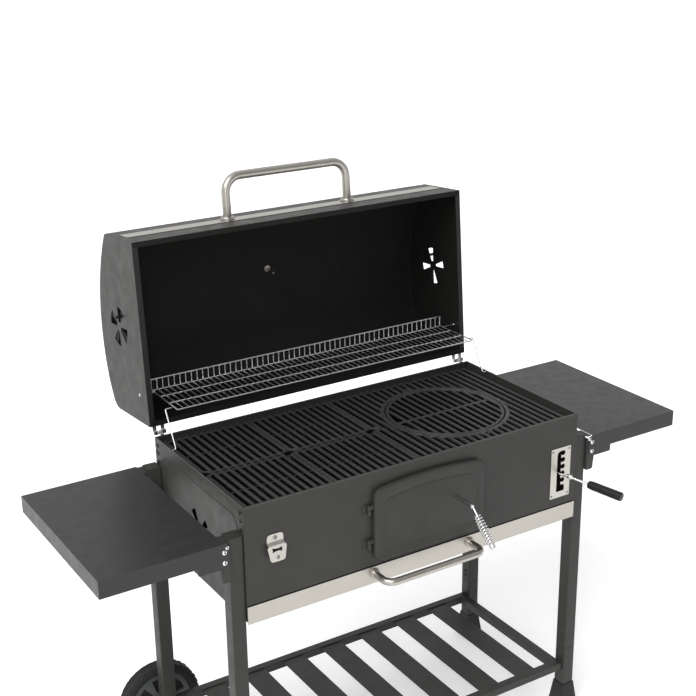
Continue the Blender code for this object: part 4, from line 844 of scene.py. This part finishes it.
def build_notch_plate():
    """A stainless plate with rounded edges and four dark rivets."""
    low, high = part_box("notch_plate")
    face = FRONT_Y - GAP
    bm = bmesh.new()
    plate_into(bm, [rounded(low.x, low.z, high.x, high.z, 0.002), notch_outline()], "Y", face, face - 0.0012)
    plate = keep("notch_plate_pressing", bm, "steel_z", 30)
    soften(plate, 0.0003)
    finish_piece(plate, "frame", "brushed_steel", "notch_plate")
    bm = bmesh.new()
    for x in (SLOT_X - 0.0210, SLOT_X + 0.0274):
        for z in (RIM_Z - 0.1930, RIM_Z - 0.0810):
            screw_into(bm, (x, face - 0.0012, z), (0, -1, 0), 0.0025, 0.0014, 20)
    rivets = keep("notch_plate_rivets", bm, "rivet", 40)
    finish_piece(rivets, "frame", "brushed_steel")


# Pressed lines on the firebox's sides, wheel webs and the dial

def bead_radius(share):
    return 0.0014 * min(1.0, 12 * share + 0.2, 12 * (1 - share) + 0.2)


def build_side_beads():
    """A raised line under the rim of each side, turning down at both ends."""
    for side, label in ((-1, "left"), (1, "right")):
        x = side * (HALF - 0.0002)
        corners = [
            ((x, FRONT_Y + 0.0300, RIM_Z - 0.1000), 0),
            ((x, FRONT_Y + 0.0300, RIM_Z - 0.0330), 0.026),
            ((x, BACK_Y - 0.0300, RIM_Z - 0.0330), 0.026),
            ((x, BACK_Y - 0.0300, RIM_Z - 0.1000), 0),
        ]
        bm = bmesh.new()
        tube_into(bm, fillet(corners, 10), bead_radius, 12)
        finish_piece(keep(f"side_bead_{label}", bm, "body_paint", 60), "frame", "painted_sheet")


def build_rim_hem():
    """The folded top edge of the firebox's front wall, in a lighter paint that is a painted highlight."""
    bm = bmesh.new()
    inset = 0.0016
    route = [(-HALF + 0.001, FRONT_Y + inset, RIM_Z - inset), (HALF - 0.001, FRONT_Y + inset, RIM_Z - inset)]
    tube_into(bm, route, 0.0017, 16)
    finish_piece(keep("rim_hem", bm, "hem", 60), "frame", "painted_sheet")
    # The side rims get the same lighter paint as a painted highlight.
    for side, label in ((-1, "left"), (1, "right")):
        x = side * (HALF - inset)
        bm = bmesh.new()
        tube_into(bm, [(x, FRONT_Y + 0.006, RIM_Z - 0.0015), (x, BACK_Y - 0.006, RIM_Z - 0.0015)], 0.0016, 16)
        finish_piece(keep(f"side_hem_{label}", bm, "hem", 60), "frame", "painted_sheet")


def build_opener_screws():
    """Two dark screws through the bottle opener's tabs."""
    low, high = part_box("bottle_opener")
    middle = (low.x + high.x) / 2
    bm = bmesh.new()
    for rise, depth, height in ((0.0200, 0.0017, 0.0028), (-0.0200, 0.0118, 0.0022)):
        place = (middle, FRONT_Y - GAP - depth, (low.z + high.z) / 2 + rise)
        screw_into(bm, place, (0, -1, 0), 0.0042, height, 24)
    finish_piece(keep("opener_screws", bm, "rivet", 40), "frame", "brushed_steel")


def build_lid_screws():
    """Small dark screws on the inside of the lid."""
    bm = bmesh.new()
    for x in (-0.115, -0.035):
        screw_into(bm, (x, FRONT_Y + LID_SHEET, LID_BASE + 0.040), (0, 1, 0), 0.0034, 0.0022, 20)
    for x in (-0.405, 0.405):
        screw_into(bm, (x, BACK_Y - LID_SHEET, LID_BASE + 0.024), (0, -1, 0), 0.0036, 0.0024, 20)
    bmesh.ops.transform(bm, matrix=OPENED, verts=bm.verts)
    finish_piece(keep("lid_screws", bm, "rivet", 40), "lid", "chrome")


def build_wheel_web(row):
    """A web behind a wheel's spokes, drawn in the tyre's near black as painted shade in the openings between
    the spokes.
    """
    low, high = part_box(f"wheel_rim_{row}")
    centre = (low + high) / 2
    bm = bmesh.new()
    profile = [(0.0188, -0.0014), (0.0700, -0.0014), (0.0700, 0.0014), (0.0188, 0.0014), (0.0188, -0.0014)]
    turn_into(bm, profile, centre, (0, 1, 0), 48)
    bmesh.ops.remove_doubles(bm, verts=bm.verts, dist=0.00001)
    # The near-black tyre material on the web is painted shade in the wheel's recess.
    finish_piece(keep(f"wheel_web_{row}", bm, "tyre", 40), f"{row}_wheel", "grey_plastic")


def build_dial():
    """A plain dial face with even marks and a needle, on the lid's far side."""
    mesh = frame["nodes"]["thermometer"].data
    face = max(mesh.polygons, key=lambda polygon: polygon.area)
    normal = face.normal.normalized()
    middle = face.center.copy()
    across = Vector((1, 0, 0))
    along = normal.cross(across).normalized()
    reach = max((mesh.vertices[index].co - middle).length for index in face.vertices) * 0.86
    bm = bmesh.new()
    turn_into(bm, [(0, 0), (reach, 0), (reach, 0.0004), (0, 0.0004)], middle, normal, 48)
    finish_piece(keep("dial_face", bm, "dial", 40), "lid", "brushed_steel")
    bm = bmesh.new()
    for mark in range(25):
        turn = radians(225 - 270 * mark / 24)
        way = across * cos(turn) + along * sin(turn)
        length = 0.16 if mark % 4 == 0 else 0.09
        start = middle + way * reach * (0.92 - length) + normal * 0.0004
        tube_into(bm, [start, start + way * reach * length], 0.0003, 6)
    needle = across * cos(2.2) + along * sin(2.2)
    root = middle + normal * 0.0012
    ends = [root - needle * reach * 0.2, root + needle * reach * 0.7]
    tube_into(bm, ends, lambda share: 0.0006 - 0.0004 * share, 8)
    turn_into(bm, [(0, 0), (0.0016, 0), (0.0016, 0.0014), (0, 0.0016)], middle, normal, 16)
    finish_piece(keep("dial_marks", bm, "dial_ink", 40), "lid", "black_plastic")


# Fasteners that show

TABLE_TOP = RIM_Z - 0.064
TABLE_GAP = 0.0456
RACK_LINK = (0.0448, 0.0790)


def build_fasteners():
    """Bright screws on the tables, black bolts on the firebox and legs, rivets on the lid."""
    for side, label in ((-1, "left"), (1, "right")):
        pivot_x = side * (HALF + 0.0463)
        pivot_z = RIM_Z - 0.1053
        bm = bmesh.new()
        for y, way in ((FRONT_Y - 0.003, -1), (FRONT_Y + 0.4265, 1)):
            for z in (pivot_z, pivot_z + 0.0229):
                screw_into(bm, (pivot_x, y, z), (0, way, 0), 0.0052, 0.0030, 28)
        finish_piece(keep(f"table_screws_{label}", bm, "zinc", 40), f"table_{label}", "chrome")
        bm = bmesh.new()
        for y, way in ((FRONT_Y - 0.0012, -1), (FRONT_Y + 0.4247, 1)):
            screw_into(bm, (side * (HALF + 0.0395), y, RIM_Z - 0.0740), (0, way, 0), 0.0046, 0.0024, 24)
        finish_piece(keep(f"bracket_screws_{label}", bm, "zinc", 40), "frame", "chrome")
        bm = bmesh.new()
        for y in (FRONT_Y + 0.0160, FRONT_Y + 0.4040):
            for drop in (0.0165, 0.0355, 0.0545):
                screw_into(bm, (side * HALF, y, RIM_Z - drop), (side, 0, 0), 0.0033, 0.0028, hexagon=True)
        finish_piece(keep(f"firebox_bolts_{label}", bm, "bolt", 35), "frame", "painted_sheet")
        leg_low, leg_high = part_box(f"leg_front_{label}")
        leg_out = leg_low.x if side < 0 else leg_high.x
        bm = bmesh.new()
        for y in (FRONT_Y + 0.0212, FRONT_Y + 0.4072):
            screw_into(bm, (leg_out, y, RIM_Z - 0.1600), (side, 0, 0), 0.0042, 0.0036, hexagon=True)
        finish_piece(keep(f"leg_bolts_{label}", bm, "bolt", 35), "frame", "painted_sheet")
        bm = bmesh.new()
        table_edge = side * (HALF + TABLE_GAP - 0.0012)
        for start in (FRONT_Y - 0.0008, FRONT_Y + 0.3880):
            span = sorted((leg_out - side * 0.0010, table_edge))
            low = (span[0], start, TABLE_TOP - 0.0030)
            block_into(bm, low, (span[1], start + 0.0360, TABLE_TOP - 0.0014))
        flange = keep(f"bracket_flange_{label}", bm, "body_paint", 30)
        soften(flange, 0.0004)
        finish_piece(flange, "frame", "painted_sheet")
        bm = bmesh.new()
        spot = HINGE + Vector((side * (HALF + 0.0032), *RACK_LINK))
        screw_into(bm, spot, (side, 0, 0), 0.0036, 0.0022, 24)
        finish_piece(keep(f"rack_rivet_{label}", bm, "zinc", 40), "lid", "chrome")


# Lid shell

def dome_height(depth):
    offset = depth - DOME_CENTRE_DEPTH
    return DOME_TOP - DOME_RADIUS + sqrt(DOME_RADIUS ** 2 - offset ** 2)


def lid_route(inset):
    """The lid's closed section from the rear rim over the dome to the front rim."""
    dome = [0.060 + (DEPTH - 0.085) * step / 24 for step in range(25)]
    corners = [((0, 0), 0), ((0, dome_height(0.0) - 0.004), 0.034)]
    corners += [((place, dome_height(place)), 0) for place in dome]
    corners += [((DEPTH, dome_height(DEPTH)), 0.014), ((DEPTH, 0), 0)]
    route = fillet(corners)
    moved = []
    for index, point in enumerate(route):
        first = (point - route[index - 1]).normalized() if index else (route[1] - point).normalized()
        second = (route[index + 1] - point).normalized() if index < len(route) - 1 else first
        normals = [Vector((way.y, -way.x)) for way in (first, second)]
        mitre = (normals[0] + normals[1]).normalized()
        moved.append(point + mitre * inset / mitre.dot(normals[0]))
    return [Vector((0, BACK_Y - point.x, LID_BASE + point.y)) for point in moved]


def build_lid_shell():
    """A rolled sheet: body paint outside, black inside, with a turned-in flange at both rims."""
    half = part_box("lid_shell")[1].x
    outer = lid_route(0.0)
    inner = lid_route(LID_SHEET)
    inner[0].z += LID_SHEET
    inner[-1].z += LID_SHEET
    raised = LID_BASE + LID_SHEET
    lip_front = [Vector((0, FRONT_Y + LID_FLANGE, z)) for z in (LID_BASE, raised)]
    lip_back = [Vector((0, BACK_Y - LID_FLANGE, z)) for z in (raised, LID_BASE)]
    section = outer + lip_front + inner[::-1] + lip_back
    first_inner = len(outer) - 1
    bm = bmesh.new()
    stations = [-half, -half * 0.5, 0.0, half * 0.5, half]
    rings = [[bm.verts.new(point + Vector((x, 0, 0))) for point in section] for x in stations]
    count = len(section)
    for near, far in zip(rings, rings[1:]):
        for index in range(count):
            after = (index + 1) % count
            face = bm.faces.new((near[index], near[after], far[after], far[index]))
            face.material_index = 1 if index >= first_inner else 0
    bm.faces.new(rings[0])
    bm.faces.new(rings[-1])
    bmesh.ops.transform(bm, matrix=OPENED, verts=bm.verts)
    shell = keep("lid_shell_sheet", bm, ["body_paint", "lid_inside"], 25)
    finish_piece(shell, "lid", "painted_sheet", "lid_shell")


def build_handle(name, body, half, z, face_y, reach, radius, bend, flange, turn=None):
    """A tube handle with feet, weld beads and a fine satin grain along the tube."""
    corners = [
        ((-half, face_y - 0.0002, z), 0),
        ((-half, face_y - reach, z), bend),
        ((half, face_y - reach, z), bend),
        ((half, face_y - 0.0002, z), 0),
    ]
    bm = bmesh.new()
    tube_into(bm, fillet(corners, 14), radius, 32)
    for side in (-1, 1):
        place = (side * half, face_y, z)
        profile = [
            (0, 0),
            (flange, 0),
            (flange, 0.0016),
            (flange - 0.0010, 0.0024),
            (flange - 0.0018, 0.0024),
            (flange - 0.0019, 0.0050),
            (flange - 0.0028, 0.0060),
            (radius + 0.0010, 0.0061),
            (radius - 0.0002, 0.0064),
        ]
        turn_into(bm, profile, place, (0, -1, 0), 40)
    if turn is not None:
        bmesh.ops.transform(bm, matrix=turn, verts=bm.verts)
    item = keep(f"{name}_tube", bm, "steel_x", 40)
    finish_piece(item, body, "brushed_steel", name)


# Warming rack

WIRE = 0.0015
THIN_WIRE = 0.0011
RACK_WIRES = 57
RACK_HALF = 0.402
RACK_Z = 0.8775
RACK_FRONT_Y = 0.0909
RACK_BACK_Y = 0.2275
RACK_PITCH = 0.045


def build_rack():
    """Thin wires welded on four long ones, each turned up at the back into a fence."""
    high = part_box("warming_rack")[1]
    half = RACK_HALF - WIRE
    z = RACK_Z
    front = RACK_FRONT_Y
    back = RACK_BACK_Y - WIRE
    top = high.z - WIRE
    bm = bmesh.new()
    for y in (front, front + RACK_PITCH, front + 0.091, back):
        tube_into(bm, [(-half, y, z - 0.0006), (half, y, z - 0.0006)], WIRE, 12)
    tube_into(bm, [(-half, back - 0.0006, top), (half, back - 0.0006, top)], WIRE, 12)
    for index in range(RACK_WIRES):
        x = -half + 2 * half * index / (RACK_WIRES - 1)
        thick = WIRE if index in (0, RACK_WIRES - 1) else THIN_WIRE
        corners = [
            ((x, front - 0.001, z + 0.0008), 0),
            ((x, back + 0.0008, z + 0.0008), 0.005),
            ((x, back + 0.0008, top + 0.001), 0),
        ]
        tube_into(bm, fillet(corners, 5), thick, 8)
    hinge = HINGE + Vector((0, *RACK_LINK))
    for side in (-1, 1):
        tube_into(bm, [(side * half, hinge.y, hinge.z), (side * high.x, hinge.y, hinge.z)], WIRE, 12)
        button = [(0, 0), (0.004, 0), (0.0034, 0.0016), (0, 0.002)]
        turn_into(bm, button, (side * (high.x - 0.0016), hinge.y, hinge.z), (-side, 0, 0), 20)
    rack = keep("warming_rack_wires", bm, "wire", 40)
    finish_piece(rack, "rack", "chrome", "warming_rack")


# Door

DOOR_LEFT = -0.1323
DOOR_RIGHT = 0.1553
DOOR_BASE = RIM_Z - 0.2065
DOOR_TOP = RIM_Z - 0.040
DOOR_RISE = 0.010
DOOR_DEPTH = 0.0135
DOOR_PIVOT = (DOOR_LEFT - 0.0105, FRONT_Y - 0.006)
DOOR_ARC_STEPS = 8
KNUCKLE = [(0, 0), (0.0036, 0), (0.0040, 0.0005), (0.0040, 0.0099), (0.0036, 0.0104), (0, 0.0104)]


def door_ring(inset, radius):
    """The door's outline with an arched top, moved inward; the same count of points each time."""
    left = DOOR_LEFT + inset
    right = DOOR_RIGHT - inset
    low = DOOR_BASE + inset
    high = DOOR_TOP - inset
    middle = (left + right) / 2
    points = []
    for x, z, start in ((right - radius, low + radius, -pi / 2), (right - radius, high - radius, 0.0)):
        points += quarter_arc(x, z, radius, start, DOOR_ARC_STEPS)
    for step in range(1, 20):
        x = right - radius + (left - right + 2 * radius) * step / 20
        points.append((x, high))
    for x, z, start in ((left + radius, high - radius, pi / 2), (left + radius, low + radius, pi)):
        points += quarter_arc(x, z, radius, start, DOOR_ARC_STEPS)
    arched = []
    for x, z in points:
        share = (x - middle) / ((right - left) / 2)
        rise = DOOR_RISE * (1 - share ** 2) * max(0.0, (z - low) / (high - low)) ** 3
        arched.append((x, z + rise))
    return arched


def build_door():
    """A pressed door: a rolled lip, a shallow channel and a raised field with round corners."""
    face = FRONT_Y - GAP
    rings = [
        (0.0016, 0.0032, 0.0184),
        (0.0000, 0.0034, 0.0200),
        (0.0000, 0.0102, 0.0200),
        (0.0006, 0.0121, 0.0196),
        (0.0020, 0.0131, 0.0186),
        (0.0040, 0.0135, 0.0176),
        (0.0225, 0.0135, 0.0130),
        (0.0236, 0.0131, 0.0125),
        (0.0248, 0.0131, 0.0120),
        (0.0262, 0.0141, 0.0116),
        (0.0276, 0.0144, 0.0110),
    ]
    bm = bmesh.new()
    loops = []
    for inset, depth, radius in rings:
        loops.append([bm.verts.new((x, face - depth, z)) for x, z in door_ring(inset, radius)])
    for first, second in zip(loops, loops[1:]):
        for index in range(len(first)):
            after = (index + 1) % len(first)
            bm.faces.new((first[index], first[after], second[after], second[index]))
    bm.faces.new(loops[-1])
    bm.faces.new(loops[0][::-1])
    pivot_x, pivot_y = DOOR_PIVOT
    for z in (RIM_Z - 0.0845, RIM_Z - 0.1649):
        low = (pivot_x, pivot_y - 0.0016, z + 0.0012)
        block_into(bm, low, (DOOR_LEFT + 0.003, pivot_y + 0.0016, z + 0.0110))
        turn_into(bm, KNUCKLE, (pivot_x, pivot_y, z + 0.0008), (0, 0, 1), 24)
    door = keep("charcoal_door_pressing", bm, "body_paint", 40)
    finish_piece(door, "door", "painted_sheet", "charcoal_door")
    build_door_handle(face - DOOR_DEPTH - 0.0014)


def build_door_handle(face):
    """A bent rod with a flange, a coiled spring grip that swells and a rounded end."""
    x = 0.0785
    z = RIM_Z - 0.1090
    slope = radians(42)
    bend = Vector((x, face - 0.0560, z))
    way = Vector((0, -cos(slope), -sin(slope)))
    corners = [((x, face - GAP, z), 0), (bend, 0.014), (bend + way * 0.1, 0)]
    bm = bmesh.new()
    tube_into(bm, fillet(corners, 10), lambda share: 0.0043 if share < 0.55 else 0.0026, 20)
    cap = [(0, -0.0075), (0.0050, -0.0070), (0.0060, -0.0052), (0.0060, 0.0010)]
    cap += [(0.0052, 0.0040), (0.0030, 0.0060), (0, 0.0068)]
    turn_into(bm, cap, bend + way * 0.0965, way, 28)
    handle = keep("door_handle_bar", bm, "chrome", 40)
    finish_piece(handle, "door", "chrome", "door_handle_rod")
    turns = 11
    wire = 0.0019
    start = bend + way * 0.0200
    length = 0.0740
    across = way.orthogonal().normalized()
    along = way.cross(across)
    route = []
    steps = turns * 28
    for step in range(steps + 1):
        share = step / steps
        swell = sin(pi * (share * 0.92 + 0.04)) ** 0.8
        radius = 0.0050 + 0.0034 * swell
        turn = tau * turns * share
        spoke = across * cos(turn) + along * sin(turn)
        route.append(start + way * (length * share) + spoke * radius)
    bm = bmesh.new()
    tube_into(bm, route, wire, 10)
    spring = keep("door_handle_coil", bm, "chrome", 50)
    finish_piece(spring, "door", "chrome", "door_handle_spring")


# Tyres

def build_tyre(row):
    """A tyre with a tread of staggered blocks between three grooves."""
    low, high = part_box(f"tyre_{row}")
    centre = (low + high) / 2
    radius = (high.z - low.z) / 2
    half = (high.y - low.y) / 2
    bead = radius - 0.024
    section = [
        (bead, half - 0.006),
        (bead + 0.003, half - 0.002),
        (bead + 0.009, half),
        (radius - 0.010, half - 0.0004),
        (radius - 0.005, half - 0.002),
        (radius - 0.002, half - 0.0045),
    ]
    band = [half - 0.0065, half - 0.0085, 0.0045, 0.0025, -0.0025, -0.0045, -half + 0.0085, -half + 0.0065]
    steps = 144
    bm = bmesh.new()
    profile = [(r, y, False) for r, y in section]
    profile += [(radius, y, True) for y in band]
    profile += [(r, -y, False) for r, y in section[::-1]]
    rings = []
    for step in range(steps):
        turn = tau * step / steps
        ring = []
        for r, y, tread in profile:
            if tread:
                groove = abs(abs(y) - 0.0035) < 0.0012 or (step + (2 if y > 0 else 0)) % 4 == 0
                r = radius - (0.0028 if groove else 0.0)
            place = (centre.x + r * cos(turn), centre.y + y, centre.z + r * sin(turn))
            ring.append(bm.verts.new(place))
        rings.append(ring)
    count = len(profile)
    for step in range(steps):
        near = rings[step]
        far = rings[(step + 1) % steps]
        for index in range(count):
            after = (index + 1) % count
            bm.faces.new((near[index], near[after], far[after], far[index]))
    tyre = keep(f"tyre_{row}_tread", bm, "tyre", 30)
    finish_piece(tyre, f"{row}_wheel", "tyre", f"tyre_{row}")


def build_floor():
    bm = bmesh.new()
    bmesh.ops.create_grid(bm, x_segments=4, y_segments=4, size=45)
    mesh = bpy.data.meshes.new("floor")
    bm.to_mesh(mesh)
    bm.free()
    mesh.materials.append(floor_material())
    floor = bpy.data.objects.new("floor", mesh)
    floor.location.z = -0.0005
    bpy.context.scene.collection.objects.link(floor)


add_camera()
add_studio()
build_floor()
dress_cad()
build_small_grate("grate_front_left", "grate_a", True)
build_small_grate("grate_rear_left", "grate_b", False)
build_small_grate("grate_front_middle", "grate_c", True)
build_small_grate("grate_rear_middle", "grate_d", False)
build_large_grate()
build_insert()
build_notch_plate()
build_fasteners()
build_side_beads()
build_rim_hem()
build_opener_screws()
build_lid_screws()
build_wheel_web("front")
build_wheel_web("rear")
build_dial()
build_lid_shell()
build_handle(
    "lid_handle", "lid", 0.1615, LID_BASE + 0.0865, FRONT_Y - 0.0014, 0.097, 0.010, 0.038, 0.017, OPENED
)
build_handle(
    "drawer_handle", "drawer", 0.1264, RIM_Z - 0.2397, FRONT_Y - 0.0018, 0.0525, 0.008, 0.022, 0.0127
)
build_rack()
build_door()
build_tyre("front")
build_tyre("rear")
